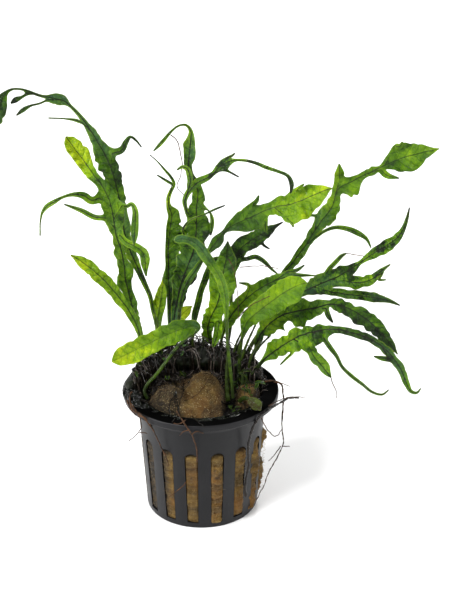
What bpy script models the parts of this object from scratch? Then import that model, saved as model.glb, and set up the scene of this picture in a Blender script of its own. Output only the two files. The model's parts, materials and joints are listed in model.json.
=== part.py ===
"""A potted phoenix tail java fern: a net pot, its rockwool plug, the creeping rhizome,
the branching fronds that grow from it and a few long roots.

The origin is at the middle of the pot's underside, +Z up, and the front is towards -Y.
Fronds and roots are laid out as a person in front of the plant sees them: millimetres to the
right of the pot's axis, millimetres up the line of sight from the middle of the rim, and
millimetres back from the pot's axis, seen by an eye that looks down at the rim.
"""
import math

import bmesh
import bpy
from mathutils import Matrix, Vector, noise

MM = 0.001
GAP = 0.3 * MM

EYE_DISTANCE = 434.0 * MM
EYE_RIGHT = 12.2 * MM
EYE_UP = 32.3 * MM
EYE_PITCH = math.radians(23.95)

POT_HEIGHT = 46.6 * MM
RIM_RADIUS = 28.0 * MM
RIM_THICKNESS = 1.0 * MM
LIP_DROP = 2.4 * MM
LIP_THICKNESS = 0.9 * MM
BODY_TOP_RADIUS = 23.3 * MM
BODY_BASE_RADIUS = 20.6 * MM
WALL = 0.9 * MM
FLOOR = 1.2 * MM
RIDGE_DROP = 5.0 * MM
RIDGE_HEIGHT = 0.9 * MM
RIDGE_STAND = 0.35 * MM
EDGE = 0.3 * MM

SLOT_COUNT = 15
FIRST_SLOT = math.radians(-8.2)
SLOT_TOP = POT_HEIGHT - 14.6 * MM
SLOT_BOTTOM = 2.2 * MM
SLOT_TOP_WIDTH = 4.8 * MM
SLOT_BOTTOM_WIDTH = 4.0 * MM
SLOT_ARC_STEPS = 4
DRAIN_HOLES = 6
DRAIN_RADIUS = 1.9 * MM
DRAIN_SIDES = 6
DRAIN_RING = 13.5 * MM
POT_STEPS = 45

PLUG_BULGES = (0.2, 0.9, 1.3, 1.0, 0.6, 0.9, 0.5, 0.8, 0.4, 0.7, 0.5, 0.3, 0.1, -0.1, 0.1)
PLUG_TOP = -4.5 * MM
PLUG_ROWS = 2
PLUG_RINGS = 5
PLUG_ROUGHNESS = 0.35 * MM
# Each lump on the plug: its middle, its half widths, its height and its rise towards the back.
PLUG_LUMPS = (
    ((1.0, -5.4), (8.0, 13.6), 10.2, 0.20),
    ((-11.6, -9.4), (6.9, 10.4), 8.2, 0.05),
    ((-4.2, -14.6), (12.2, 6.6), 4.8, 0.0),
    ((17.0, -3.8), (4.8, 6.4), 7.4, 0.05),
    ((-2.0, 12.0), (22.0, 11.0), 4.2, 0.0),
)

# The rhizome's route over the plug, from the middle of the rim: right, back, up and radius.
RHIZOME = (
    (-25.6, -6.5, 3.0, 1.6),
    (-25.2, -4.0, 3.1, 2.3),
    (-23.3, 3.0, 3.3, 2.8),
    (-18.0, 10.5, 3.8, 3.7),
    (-9.0, 15.3, 4.2, 4.6),
    (2.0, 16.4, 4.2, 4.8),
    (12.0, 12.4, 3.8, 4.1),
    (18.0, 6.4, 3.5, 3.3),
    (19.8, 2.6, 3.3, 2.2),
)
RHIZOME_SIDES = 10

PETIOLE_THICKNESS = 1.4 * MM
BLADE_THICKNESS = 0.55 * MM
PETIOLE_HALF_WIDTH = 1.05
KEEL = 0.22

# A frond's rows run from its foot to its tip: right, up, back, the blade's width to the left
# and right of the midrib, and its turn about the midrib in degrees. A lobe grows from the
# margin beside one row of its parent, on the left or the right of the direction of growth.
FRONDS = {
    "frond_tall_left": dict(
        rows=[
            (-16.5, 12.6, 11.3, 0.8, 0.8, 0), (-16.2, 21.8, 11.5, 0.8, 0.9, 0),
            (-17.5, 28.0, 11.5, 1.0, 1.0, 20), (-18.6, 33.1, 11.5, 1.1, 1.2, 40),
            (-20.4, 37.4, 11.0, 1.2, 1.1, 20), (-22.5, 42.1, 10.8, 1.3, 1.2, 0),
            (-25.0, 48.0, 10.8, 1.8, 1.8, 20), (-27.2, 53.5, 10.5, 2.2, 2.2, 10),
            (-28.2, 59.0, 10.5, 3.2, 2.2, 0), (-28.9, 65.2, 10.0, 4.2, 1.9, 0),
            (-30.0, 70.8, 9.8, 4.4, 2.0, 0), (-31.8, 77.0, 9.0, 3.8, 2.6, 0),
            (-33.2, 80.8, 8.8, 4.5, 2.8, 0), (-34.4, 83.6, 8.8, 3.8, 2.6, 0),
            (-36.8, 87.6, 8.5, 2.5, 2.2, 0), (-39.4, 92.0, 8.0, 1.5, 2.0, 0),
            (-41.0, 94.4, 8.0, 1.3, 1.1, 0), (-42.4, 96.4, 8.0, 1.2, 0.9, 0),
            (-45.2, 99.6, 7.5, 0.9, 0.9, 0), (-47.9, 102.2, 7.0, 0.9, 0.9, 0),
            (-50.2, 104.0, 6.5, 1.9, 1.7, 20), (-53.8, 104.6, 6.0, 2.0, 1.6, 20),
            (-55.4, 105.0, 5.5, 1.1, 0.9, 0), (-57.0, 105.2, 5.0, 0.8, 0.7, 0),
            (-60.0, 106.1, 4.0, 0.7, 0.6, 0), (-62.3, 107.0, 3.0, 0.6, 0.6, 0),
            (-65.2, 107.8, 2.0, 0.5, 0.5, 0), (-69.0, 107.6, 0.0, 0.6, 0.6, 0),
            (-71.4, 105.6, -2.0, 1.3, 1.2, 0), (-72.6, 101.8, -3.0, 2.3, 2.2, 0),
            (-73.6, 97.6, -4.0, 2.1, 2.0, 0), (-74.6, 93.2, -4.5, 0.3, 0.3, 0),
        ],
        lobes=[
            dict(at=13, side="right", rows=[
                (-30.8, 82.8, 9.0, 1.5, 1.2, 0), (-28.9, 85.7, 8.7, 1.3, 1.1, 0),
                (-27.0, 89.0, 8.4, 0.9, 0.8, 0), (-25.6, 90.6, 8.0, 0.6, 0.5, 0),
                (-23.6, 89.3, 8.0, 0.4, 0.4, 0), (-21.6, 86.8, 8.0, 0.25, 0.25, 0)]),
            dict(at=17, side="left", rows=[
                (-44.8, 96.4, 8.0, 0.6, 0.6, 0), (-49.0, 97.1, 7.5, 0.3, 0.3, 0),
                (-55.4, 97.4, 7.0, 0.25, 0.25, 0)]),
            dict(at=22, side="left", rows=[
                (-58.6, 102.6, 4.5, 0.35, 0.35, 0), (-61.6, 101.9, 4.0, 0.4, 0.4, 0),
                (-64.4, 100.4, 3.5, 0.8, 0.7, 0), (-66.9, 98.3, 3.0, 0.25, 0.25, 0)]),
            dict(at=25, side="left", rows=[
                (-65.0, 104.9, 2.0, 0.5, 0.5, 0), (-67.4, 103.9, 1.4, 1.0, 0.9, 0),
                (-68.9, 102.6, 1.0, 0.25, 0.25, 0)]),
        ],
    ),
    "frond_left_pale": dict(
        rows=[
            (-20.0, 10.4, 8.0, 0.8, 0.8, 0), (-20.8, 15.5, 7.5, 0.8, 0.8, 0),
            (-23.0, 21.5, 6.5, 1.2, 1.6, 0), (-24.6, 26.9, 6.0, 1.4, 2.2, 0),
            (-25.4, 30.5, 6.0, 1.7, 2.7, -10), (-26.2, 34.4, 6.0, 2.2, 1.6, 20),
            (-27.2, 38.8, 5.5, 3.2, 2.0, 10), (-27.8, 42.4, 5.0, 2.2, 2.6, 0),
            (-28.2, 46.0, 5.0, 2.2, 1.5, 10), (-28.9, 49.9, 4.5, 3.0, 1.0, 0),
            (-30.1, 53.0, 4.0, 1.8, 0.9, 0), (-30.9, 55.0, 3.2, 1.2, 1.4, 0),
            (-31.2, 57.2, 2.6, 2.2, 2.4, 0), (-31.6, 59.6, 2.2, 2.8, 3.6, 0),
            (-32.0, 62.0, 2.0, 3.2, 4.4, 0), (-32.6, 65.0, 2.0, 3.2, 4.4, 0),
            (-33.2, 67.4, 2.4, 3.0, 3.8, 0), (-34.2, 69.6, 3.2, 2.6, 3.2, 0),
            (-35.4, 72.0, 4.2, 1.8, 2.4, 0), (-38.2, 76.0, 7.4, 2.0, 1.4, 0),
            (-40.6, 79.4, 12.4, 2.9, 2.2, 0), (-43.2, 82.8, 14.0, 3.4, 3.1, 0),
            (-45.8, 86.2, 14.5, 3.3, 3.2, 0), (-47.7, 88.9, 14.5, 2.3, 2.3, 0),
            (-48.9, 90.6, 14.3, 0.5, 0.5, 0),
        ],
        lobes=[
            dict(at=17, side="left", rows=[
                (-39.4, 67.6, 1.0, 1.5, 1.3, 0), (-42.6, 69.4, 0.0, 1.3, 1.2, 0),
                (-46.6, 69.7, -2.0, 0.7, 0.7, 0), (-50.0, 68.8, -3.5, 0.5, 0.5, 0),
                (-53.5, 66.9, -5.0, 0.8, 0.8, 0), (-56.0, 65.3, -5.5, 0.8, 0.8, 0),
                (-57.4, 63.4, -6.0, 0.5, 0.5, 0), (-58.1, 60.6, -6.0, 0.3, 0.3, 0),
                (-58.3, 54.8, -6.0, 0.25, 0.25, 0)]),
            dict(at=14, side="left", rows=[
                (-37.8, 61.4, 1.0, 1.0, 0.9, 0), (-43.2, 63.8, 0.0, 0.8, 0.9, 0),
                (-49.6, 66.2, -2.0, 0.25, 0.25, 0)]),
            dict(at=15, side="right", rows=[
                (-26.8, 65.4, 0.0, 0.7, 0.6, 0), (-25.2, 66.2, -1.0, 0.9, 0.7, 20),
                (-24.0, 64.2, -2.5, 1.0, 1.0, 10), (-23.9, 59.8, -3.0, 1.2, 1.2, 0),
                (-24.1, 54.6, -3.0, 1.1, 1.3, 0), (-24.3, 51.4, -3.0, 0.3, 0.3, 0)]),
            dict(at=11, side="right", rows=[
                (-27.6, 52.9, 2.0, 1.1, 1.3, 0), (-24.0, 51.0, 1.0, 1.3, 1.8, 0),
                (-21.2, 48.8, 0.0, 1.8, 1.7, 20), (-20.3, 45.4, -0.5, 1.7, 1.7, 0),
                (-20.2, 42.6, -0.5, 0.9, 0.9, 0), (-19.9, 40.2, -0.5, 0.3, 0.3, 0)]),
        ],
    ),
    "frond_left_low": dict(
        rows=[
            (-22.8, 7.9, 3.5, 0.8, 0.8, 0), (-22.8, 13.0, 1.5, 0.8, 0.8, 0),
            (-22.4, 18.6, 0.0, 0.9, 0.9, 0), (-23.4, 22.4, -0.5, 1.3, 1.3, 0),
            (-25.0, 25.6, -1.0, 1.5, 1.5, 0), (-27.0, 29.0, -1.5, 1.6, 1.5, 0),
            (-29.6, 32.4, -2.5, 2.2, 1.6, 0), (-32.7, 36.0, -3.5, 2.3, 2.1, 0),
            (-36.8, 40.3, -4.5, 2.4, 2.3, 0), (-41.6, 44.2, -6.0, 2.2, 2.0, 0),
            (-45.2, 46.7, -7.0, 1.2, 1.2, 0), (-47.2, 47.8, -7.4, 0.3, 0.3, 0),
        ],
    ),
    "frond_front_left": dict(
        rows=[
            (-19.4, -4.2, -9.0, 0.8, 0.8, 0), (-20.6, -1.2, -9.0, 0.8, 0.8, 0),
            (-19.4, 1.2, -8.5, 0.8, 0.8, 0), (-16.6, 4.2, -8.0, 0.8, 0.8, 0),
            (-13.5, 8.2, -7.5, 0.8, 0.8, 0), (-9.8, 13.2, -7.0, 0.8, 0.8, 0),
            (-5.0, 18.0, -7.0, 0.8, 0.8, 0), (-2.0, 20.0, -8.0, 0.8, 0.8, 0),
            (-1.0, 21.4, -10.0, 1.2, 1.0, 0), (-2.8, 22.2, -12.5, 2.4, 2.0, 0),
            (-6.2, 21.4, -15.0, 3.4, 3.0, 0), (-10.8, 19.8, -17.5, 4.0, 3.6, 0),
            (-14.8, 18.0, -19.5, 3.6, 3.4, 0), (-18.6, 16.1, -21.5, 3.8, 3.4, 0),
            (-22.5, 14.3, -24.0, 4.0, 3.4, 0), (-25.8, 12.7, -26.0, 3.8, 3.3, 0),
            (-29.0, 10.9, -28.0, 3.0, 2.7, 0), (-31.3, 9.8, -29.5, 1.6, 1.5, 0),
            (-32.3, 9.3, -30.0, 0.4, 0.4, 0),
        ],
    ),
    "frond_inner_bright": dict(
        rows=[
            (-13.6, 14.2, 13.6, 0.8, 0.8, 0), (-15.0, 19.0, 16.0, 0.8, 0.8, 0),
            (-15.8, 24.0, 18.0, 1.6, 1.6, 0), (-15.2, 28.5, 18.5, 2.3, 2.0, 0),
            (-14.4, 33.0, 18.5, 2.2, 2.0, 0), (-13.9, 37.0, 18.5, 1.2, 1.2, 0),
            (-13.7, 40.0, 18.5, 0.3, 0.3, 0),
        ],
    ),
    "frond_centre_dark": dict(
        rows=[
            (-11.5, 14.6, 15.5, 0.8, 0.8, 0), (-11.5, 23.7, 15.3, 0.8, 1.2, 0),
            (-11.6, 30.0, 15.0, 0.8, 2.0, 0), (-11.8, 35.4, 14.6, 0.9, 2.8, 0),
            (-12.0, 39.4, 14.3, 1.8, 3.4, 0), (-12.2, 43.6, 14.0, 0.8, 4.2, 0),
            (-12.3, 48.0, 13.5, 0.8, 4.8, 0), (-12.1, 53.4, 13.0, 0.8, 5.0, 0),
            (-11.4, 58.7, 12.5, 1.2, 4.8, 0), (-10.8, 62.2, 12.0, 1.2, 3.0, 0),
            (-11.8, 65.4, 11.5, 1.0, 1.2, 0), (-11.9, 68.4, 11.0, 1.0, 1.0, 0),
            (-10.9, 71.2, 11.0, 0.9, 0.9, 0), (-9.8, 73.4, 11.0, 0.8, 0.8, 0),
            (-10.8, 75.8, 10.5, 0.7, 0.7, 0), (-13.0, 78.4, 10.0, 0.6, 0.6, 0),
            (-16.0, 81.8, 9.5, 0.3, 0.3, 0), (-18.6, 84.1, 9.0, 0.25, 0.25, 0),
        ],
        lobes=[
            dict(at=13, side="left", rows=[
                (-12.4, 74.6, 10.5, 0.5, 0.5, 0), (-16.0, 76.8, 9.5, 0.25, 0.25, 0)]),
        ],
    ),
    "frond_centre_tall": dict(
        rows=[
            (-9.2, 15.0, 14.5, 0.8, 0.8, 0), (-10.0, 22.5, 12.5, 1.0, 1.0, 0),
            (-9.0, 30.4, 11.0, 1.8, 2.8, 0), (-7.4, 37.0, 9.5, 3.4, 3.4, 0),
            (-4.8, 44.0, 8.0, 4.8, 3.8, 0), (-2.6, 49.4, 7.0, 5.0, 3.6, 0),
            (-2.0, 52.4, 6.7, 4.8, 3.6, 0), (-1.8, 55.2, 6.5, 4.6, 3.8, 0),
            (-1.8, 57.8, 6.2, 4.2, 4.0, 0), (-1.8, 60.6, 5.9, 3.6, 3.6, 0),
            (-1.8, 63.0, 5.6, 3.0, 2.8, 0), (-1.7, 65.2, 5.2, 2.4, 2.8, 0),
            (-1.5, 67.4, 5.0, 2.0, 2.6, 0), (-1.2, 70.6, 4.5, 1.8, 1.8, 0),
            (-2.3, 73.8, 4.0, 1.4, 1.5, 0), (-3.9, 77.0, 3.5, 1.1, 1.2, 0),
            (-4.8, 80.2, 3.0, 1.3, 1.4, 0), (-4.4, 83.6, 3.0, 1.8, 1.8, 0),
            (-4.0, 86.8, 3.0, 2.2, 1.6, 0), (-3.7, 90.2, 2.5, 1.4, 1.3, 0),
            (-3.9, 93.0, 2.5, 0.9, 0.9, 0), (-5.6, 94.9, 2.0, 0.6, 0.6, 0),
            (-8.2, 94.6, 1.5, 0.5, 0.5, 0), (-11.0, 92.4, 1.0, 0.6, 0.6, 0),
            (-13.6, 89.4, 0.5, 0.9, 0.8, 0), (-15.8, 87.0, 0.0, 0.8, 0.7, 0),
            (-17.3, 85.4, 0.0, 0.25, 0.25, 0),
        ],
        lobes=[
            dict(at=10, side="left", rows=[
                (-5.6, 64.8, 3.0, 0.7, 0.7, 0), (-6.0, 67.2, 1.5, 0.9, 0.8, 0),
                (-5.2, 69.6, 0.0, 1.0, 0.9, 0), (-3.4, 72.0, -1.5, 1.2, 1.0, 0),
                (-1.1, 74.2, -3.0, 1.4, 1.2, 0), (2.3, 75.8, -3.5, 1.2, 1.0, 0),
                (4.6, 77.6, -4.0, 0.8, 0.8, 0), (6.2, 79.4, -4.5, 1.2, 1.4, 0),
                (8.0, 80.6, -5.0, 1.7, 1.9, 0), (9.8, 81.6, -5.5, 1.4, 1.5, 0),
                (12.0, 82.1, -6.0, 0.6, 0.6, 0), (15.4, 82.1, -6.5, 0.5, 0.5, 20),
                (20.0, 81.0, -7.0, 0.6, 0.6, 30), (23.4, 79.6, -7.5, 0.6, 0.7, 10),
                (27.9, 78.1, -8.5, 0.5, 0.6, 0), (31.4, 76.4, -9.0, 0.6, 0.6, 0),
                (32.7, 73.4, -9.3, 0.8, 0.8, 0), (32.3, 70.2, -9.5, 0.3, 0.3, 0)],
                lobes=[
                    dict(at=3, side="left", rows=[
                        (-4.0, 74.4, -3.5, 1.0, 0.8, 0), (-4.2, 76.8, -4.5, 1.1, 0.9, 0),
                        (-5.0, 79.0, -5.0, 0.9, 0.8, 0), (-6.8, 79.8, -5.5, 0.6, 0.6, 0),
                        (-8.8, 78.6, -6.0, 0.3, 0.3, 0)]),
                    dict(at=9, side="left", rows=[
                        (10.9, 83.6, -5.6, 0.5, 0.5, 0), (12.2, 84.7, -5.8, 0.25, 0.25, 0)]),
                    dict(at=8, side="right", rows=[
                        (10.4, 77.8, -5.6, 0.4, 0.4, 0), (13.7, 76.0, -6.0, 0.25, 0.25, 0)]),
                ]),
            dict(at=7, side="left", rows=[
                (-6.6, 57.4, 2.5, 0.4, 0.4, 0), (-3.6, 60.8, 0.5, 0.4, 0.4, 0),
                (0.8, 62.4, -0.5, 0.3, 0.3, 0), (5.0, 64.4, -1.0, 0.4, 0.4, 0),
                (8.6, 65.8, -1.5, 0.25, 0.25, 0)]),
            dict(at=11, side="right", rows=[
                (2.8, 63.8, 4.0, 0.3, 0.3, 0), (3.9, 61.0, 3.0, 0.7, 0.7, 0),
                (3.8, 57.8, 2.5, 0.7, 0.7, 0), (3.4, 54.9, 2.0, 0.25, 0.25, 0)]),
        ],
    ),
    "frond_small_yellow": dict(
        rows=[
            (-6.8, 16.6, 18.8, 0.7, 0.7, 0), (-8.4, 20.0, 18.8, 0.8, 0.8, 0),
            (-8.2, 24.0, 18.8, 1.6, 1.6, 0), (-6.8, 26.6, 18.4, 2.0, 2.2, 0),
            (-5.0, 28.2, 18.2, 1.5, 1.7, 0), (-3.4, 29.4, 18.2, 0.3, 0.3, 0),
        ],
    ),
    "frond_upper_right": dict(
        rows=[
            (-6.4, 15.2, 14.3, 0.8, 0.8, 0), (-8.0, 22.0, 9.0, 0.8, 0.8, 0),
            (-7.8, 29.0, 6.5, 0.9, 1.0, 0), (-6.6, 34.6, 5.0, 1.0, 1.2, 0),
            (-4.4, 39.2, 4.0, 1.2, 1.4, 0), (-1.9, 42.6, 3.0, 1.3, 1.2, 20),
            (0.2, 46.0, 2.5, 1.1, 1.1, 30), (2.8, 49.4, 2.0, 1.0, 1.2, 0),
            (5.4, 52.6, 1.5, 1.6, 2.0, 0), (8.4, 56.4, 1.0, 1.0, 1.0, 20),
            (11.8, 58.8, 0.5, 2.0, 2.4, 0), (15.4, 60.5, 0.0, 3.2, 3.8, 0),
            (18.2, 61.8, -0.5, 3.6, 4.4, 0), (20.0, 62.6, -0.8, 3.4, 4.4, 0),
            (21.8, 63.5, -1.0, 2.6, 3.8, 0), (24.6, 64.5, -1.5, 2.2, 2.6, 0),
            (28.0, 65.6, -2.0, 2.9, 4.4, 0), (31.6, 66.3, -2.5, 3.6, 6.4, 0),
            (35.4, 67.5, -3.0, 4.2, 5.6, 0), (39.3, 69.0, -3.5, 4.0, 4.6, 0),
            (43.0, 70.6, -4.0, 2.6, 2.8, 0), (45.8, 71.6, -4.2, 1.2, 1.2, 0),
            (47.3, 72.0, -4.3, 0.3, 0.3, 0),
        ],
        lobes=[
            dict(at=13, side="left", rows=[
                (20.0, 67.4, -0.5, 0.8, 0.8, 0), (20.8, 69.4, -0.5, 0.3, 0.3, 0)]),
            dict(at=14, side="right", rows=[
                (23.2, 58.2, -0.5, 0.8, 0.8, 0), (23.5, 55.8, -0.5, 0.3, 0.3, 0)]),
            dict(at=18, side="left", rows=[
                (35.6, 72.2, -2.8, 0.7, 0.7, 0), (37.2, 73.6, -2.8, 0.25, 0.25, 0)]),
            dict(at=17, side="right", rows=[
                (32.8, 59.8, -2.4, 0.8, 0.8, 0), (33.3, 57.9, -2.4, 0.3, 0.3, 0)]),
        ],
    ),
    "frond_narrow_glossy": dict(
        rows=[
            (-3.9, 15.6, 16.3, 0.8, 0.8, 0), (-2.8, 20.6, 15.5, 0.8, 0.8, 0),
            (-2.4, 25.5, 14.5, 1.3, 1.2, 0), (-1.3, 30.5, 13.5, 1.2, 1.5, 30),
            (-0.1, 34.9, 13.0, 1.3, 1.2, 0), (1.2, 38.8, 12.5, 1.1, 1.4, 0),
            (2.6, 42.6, 12.0, 1.2, 1.2, 20), (4.4, 45.8, 11.5, 1.2, 1.2, 0),
            (6.6, 46.6, 11.0, 1.0, 1.0, 0), (8.4, 45.8, 11.0, 0.3, 0.3, 0),
        ],
    ),
    "frond_front_centre": dict(
        rows=[
            (11.5, -4.0, -8.5, 0.8, 0.8, 0), (11.0, 2.0, -8.5, 0.8, 0.8, 0),
            (10.3, 8.0, -9.0, 0.8, 0.8, 0), (9.7, 14.0, -9.0, 0.8, 0.8, 0),
            (9.3, 20.0, -9.0, 0.8, 0.8, 0), (9.0, 26.5, -9.5, 1.0, 1.0, 0),
            (8.9, 31.0, -9.5, 1.4, 1.2, 0), (8.2, 35.5, -9.5, 1.8, 1.4, 0),
            (7.0, 39.2, -9.8, 1.6, 1.4, 0), (5.4, 42.0, -10.2, 1.6, 1.4, 0),
            (3.7, 44.4, -10.6, 1.7, 1.6, 0), (2.1, 46.8, -11.0, 1.8, 1.8, 0),
            (0.2, 49.7, -11.5, 1.8, 1.8, 0), (-2.3, 52.2, -12.0, 1.6, 1.7, 0),
            (-5.2, 53.4, -12.5, 1.3, 1.4, 0), (-7.4, 53.6, -13.0, 1.4, 1.5, 0),
            (-9.0, 53.2, -13.3, 1.2, 1.3, 0), (-9.8, 52.8, -13.4, 0.5, 0.5, 0),
        ],
    ),
    "frond_centre_pale": dict(
        rows=[
            (3.5, 15.6, 16.2, 0.8, 0.8, 0), (2.6, 18.8, 14.0, 1.8, 1.4, 0),
            (2.4, 22.0, 11.0, 2.4, 2.4, 0), (3.4, 25.4, 8.0, 3.0, 2.8, 0),
            (5.0, 28.6, 6.0, 3.4, 3.4, 0), (6.4, 32.2, 4.5, 3.6, 4.0, 0),
            (7.3, 36.7, 3.5, 4.0, 4.6, 0), (8.0, 41.5, 3.0, 3.6, 4.6, 0),
            (8.9, 46.2, 2.5, 2.8, 3.6, 0), (9.4, 50.0, 2.0, 1.8, 1.8, 0),
            (9.6, 52.8, 2.0, 0.3, 0.3, 0),
        ],
        lobes=[
            dict(at=3, side="right", rows=[
                (5.6, 22.0, 7.0, 1.5, 1.5, 0), (5.6, 18.4, 7.5, 1.6, 1.5, 0),
                (4.2, 14.6, 8.0, 0.4, 0.4, 0)]),
        ],
    ),
    "frond_mid_right": dict(
        rows=[
            (6.8, 14.8, 15.0, 0.8, 0.8, 0), (7.8, 19.0, 12.6, 0.8, 0.8, 0),
            (9.6, 24.0, 10.5, 1.8, 2.0, 0), (12.7, 28.4, 9.5, 2.5, 2.6, 0),
            (16.5, 32.2, 8.5, 2.4, 2.5, 0), (19.0, 34.3, 8.2, 2.4, 2.5, 0),
            (21.2, 35.8, 8.0, 2.3, 2.5, 0), (25.4, 38.1, 7.5, 2.3, 2.4, 0),
            (28.6, 39.3, 7.0, 2.0, 2.1, 0), (31.2, 40.0, 6.7, 1.6, 1.6, 0),
            (35.3, 40.5, 6.2, 1.0, 1.1, 0), (38.6, 40.5, 5.8, 0.6, 0.6, 0),
            (42.0, 40.3, 5.5, 0.25, 0.25, 0),
        ],
        lobes=[
            dict(at=5, side="left", rows=[
                (16.8, 37.2, 7.5, 0.7, 0.7, 0), (13.6, 37.8, 7.0, 0.25, 0.25, 0)]),
            dict(at=9, side="left", rows=[
                (34.6, 42.4, 6.5, 0.7, 0.7, 0), (37.3, 44.2, 6.0, 0.25, 0.25, 0)]),
        ],
    ),
    "frond_dark_right": dict(
        rows=[
            (9.3, 14.2, 14.5, 0.8, 0.8, 0), (10.6, 22.0, 15.2, 0.8, 0.8, 0),
            (10.8, 32.0, 14.8, 0.9, 0.9, 0), (10.9, 39.0, 14.2, 1.2, 1.0, 0),
            (11.5, 43.6, 13.5, 1.8, 1.8, 0), (12.4, 47.0, 13.0, 2.4, 2.2, 0),
            (14.2, 50.0, 12.5, 2.8, 2.6, 0), (17.0, 52.4, 12.0, 3.2, 2.8, 0),
            (20.4, 54.4, 11.5, 2.8, 2.6, 20), (23.6, 56.4, 11.2, 1.9, 2.0, 0),
            (26.7, 58.2, 10.8, 1.0, 1.0, 0), (29.6, 59.8, 10.5, 0.25, 0.25, 0),
        ],
        lobes=[
            dict(at=5, side="right", rows=[
                (16.4, 46.4, 11.5, 0.8, 0.8, 0), (19.6, 47.2, 10.5, 0.9, 0.9, 0),
                (22.6, 45.6, 9.5, 0.8, 0.8, 0), (25.6, 42.6, 9.0, 0.5, 0.5, 0),
                (27.7, 40.9, 8.5, 0.25, 0.25, 0)]),
            dict(at=8, side="right", rows=[
                (22.8, 51.2, 11.0, 0.5, 0.5, 0), (24.8, 50.0, 11.0, 0.25, 0.25, 0)]),
        ],
    ),
    "frond_tall_right": dict(
        rows=[
            (12.5, 13.1, 12.3, 0.8, 0.8, 0), (16.0, 20.0, 13.5, 0.8, 0.8, 0),
            (21.8, 28.5, 14.0, 0.8, 0.8, 0), (27.9, 37.6, 13.5, 1.1, 1.0, 0),
            (30.5, 42.1, 13.2, 1.2, 1.1, 0), (32.9, 45.0, 13.0, 1.0, 1.9, 0),
            (35.0, 47.8, 12.8, 1.4, 1.9, 0), (38.2, 52.0, 12.4, 1.5, 1.7, 0),
            (40.2, 55.2, 12.2, 1.7, 1.7, 0), (41.9, 57.8, 12.0, 1.8, 1.8, 0),
            (43.6, 60.4, 11.6, 2.4, 3.0, 0), (45.4, 62.6, 11.3, 2.6, 3.6, 0),
            (47.0, 64.8, 10.9, 2.6, 3.4, 0), (48.0, 67.4, 10.5, 2.1, 2.4, 0),
            (48.6, 69.8, 10.2, 1.4, 1.6, 10), (49.6, 71.8, 9.9, 2.2, 2.2, 0),
            (51.4, 73.2, 9.5, 2.9, 3.8, 0), (53.8, 74.4, 9.2, 2.0, 4.5, 0),
            (56.6, 75.9, 8.8, 1.0, 2.6, 0), (59.6, 77.0, 8.2, 1.6, 1.0, 0),
            (62.0, 78.2, 7.8, 1.7, 1.6, 0), (64.7, 79.6, 7.2, 0.8, 1.0, 0),
            (67.2, 80.7, 6.4, 2.1, 2.2, 0), (71.2, 82.4, 5.4, 4.4, 4.5, 0),
            (75.6, 83.9, 4.4, 4.0, 4.6, 0), (79.8, 84.9, 3.4, 3.0, 3.4, 0),
            (83.6, 85.8, 2.6, 1.0, 1.5, 0), (86.0, 86.3, 2.0, 0.3, 0.3, 0),
        ],
        lobes=[
            dict(at=16, side="left", rows=[
                (50.0, 77.4, 9.5, 1.6, 1.6, 0), (49.9, 80.8, 9.5, 0.3, 0.3, 0)]),
            dict(at=21, side="right", rows=[
                (66.6, 77.0, 6.6, 1.2, 1.2, 0), (71.6, 75.6, 6.0, 0.25, 0.25, 0)]),
            dict(at=23, side="left", rows=[
                (72.0, 87.2, 5.2, 0.9, 0.9, 0), (72.8, 88.8, 5.0, 0.3, 0.3, 0)]),
            dict(at=8, side="right", rows=[
                (44.4, 56.4, 11.0, 0.6, 0.6, 0), (48.2, 57.8, 10.5, 0.7, 0.7, 0),
                (52.6, 57.4, 10.0, 0.9, 0.9, 0), (56.6, 55.8, 9.5, 1.0, 1.0, 0),
                (60.0, 53.4, 9.0, 0.6, 0.6, 0), (61.4, 50.4, 8.0, 0.25, 0.25, 0)]),
            dict(at=10, side="left", rows=[
                (39.8, 62.2, 11.5, 0.5, 0.5, 0), (36.8, 61.6, 11.5, 0.25, 0.25, 0)]),
        ],
    ),
    "frond_wide_right": dict(
        rows=[
            (13.3, 1.1, 4.0, 0.8, 0.8, 0), (13.7, 8.0, 3.5, 0.8, 0.8, 0),
            (14.3, 14.5, 2.0, 0.8, 0.8, 0), (15.2, 20.0, 0.0, 1.0, 1.0, 0),
            (16.6, 23.6, -1.5, 2.6, 2.4, 0), (19.6, 26.5, -3.0, 3.7, 3.6, 0),
            (22.6, 29.0, -4.2, 3.8, 4.4, 0), (25.8, 31.4, -5.4, 4.2, 4.6, 0),
            (28.8, 33.6, -6.4, 4.6, 4.6, 0), (31.8, 35.4, -7.2, 4.2, 4.5, 0),
            (34.8, 36.9, -7.8, 3.2, 3.8, 0), (37.0, 37.6, -8.1, 1.7, 2.2, 0),
            (38.2, 37.8, -8.3, 0.3, 0.3, 0),
        ],
    ),
    "frond_far_right": dict(
        rows=[
            (15.6, 11.2, 9.2, 0.8, 0.8, 0), (19.0, 17.0, 9.6, 0.8, 0.8, 0),
            (24.4, 24.4, 9.6, 0.8, 0.8, 0), (30.6, 31.0, 9.0, 0.9, 0.9, 0),
            (35.6, 34.0, 8.2, 1.4, 1.4, 0), (39.0, 35.6, 7.6, 2.2, 2.0, 0),
            (42.6, 37.2, 7.0, 3.2, 3.2, 0), (44.8, 38.1, 6.6, 3.6, 3.8, 0),
            (47.0, 39.0, 6.2, 3.6, 4.0, 0), (49.2, 40.0, 5.8, 3.2, 4.0, 0),
            (51.4, 41.2, 5.3, 2.6, 3.6, 0), (54.0, 42.8, 4.6, 1.7, 2.4, 0),
            (57.0, 44.8, 3.6, 1.0, 1.1, 0), (60.0, 46.9, 2.8, 1.3, 1.3, 0),
            (63.4, 49.2, 2.0, 1.8, 1.9, 0), (67.0, 51.4, 1.0, 2.0, 2.0, 0),
            (70.4, 53.7, 0.2, 1.5, 1.5, 0), (73.0, 57.2, -0.8, 1.1, 1.1, 0),
            (74.4, 61.0, -1.4, 0.8, 0.8, 0), (75.3, 65.0, -2.0, 0.3, 0.3, 0),
        ],
        lobes=[
            dict(at=8, side="left", rows=[
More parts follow.
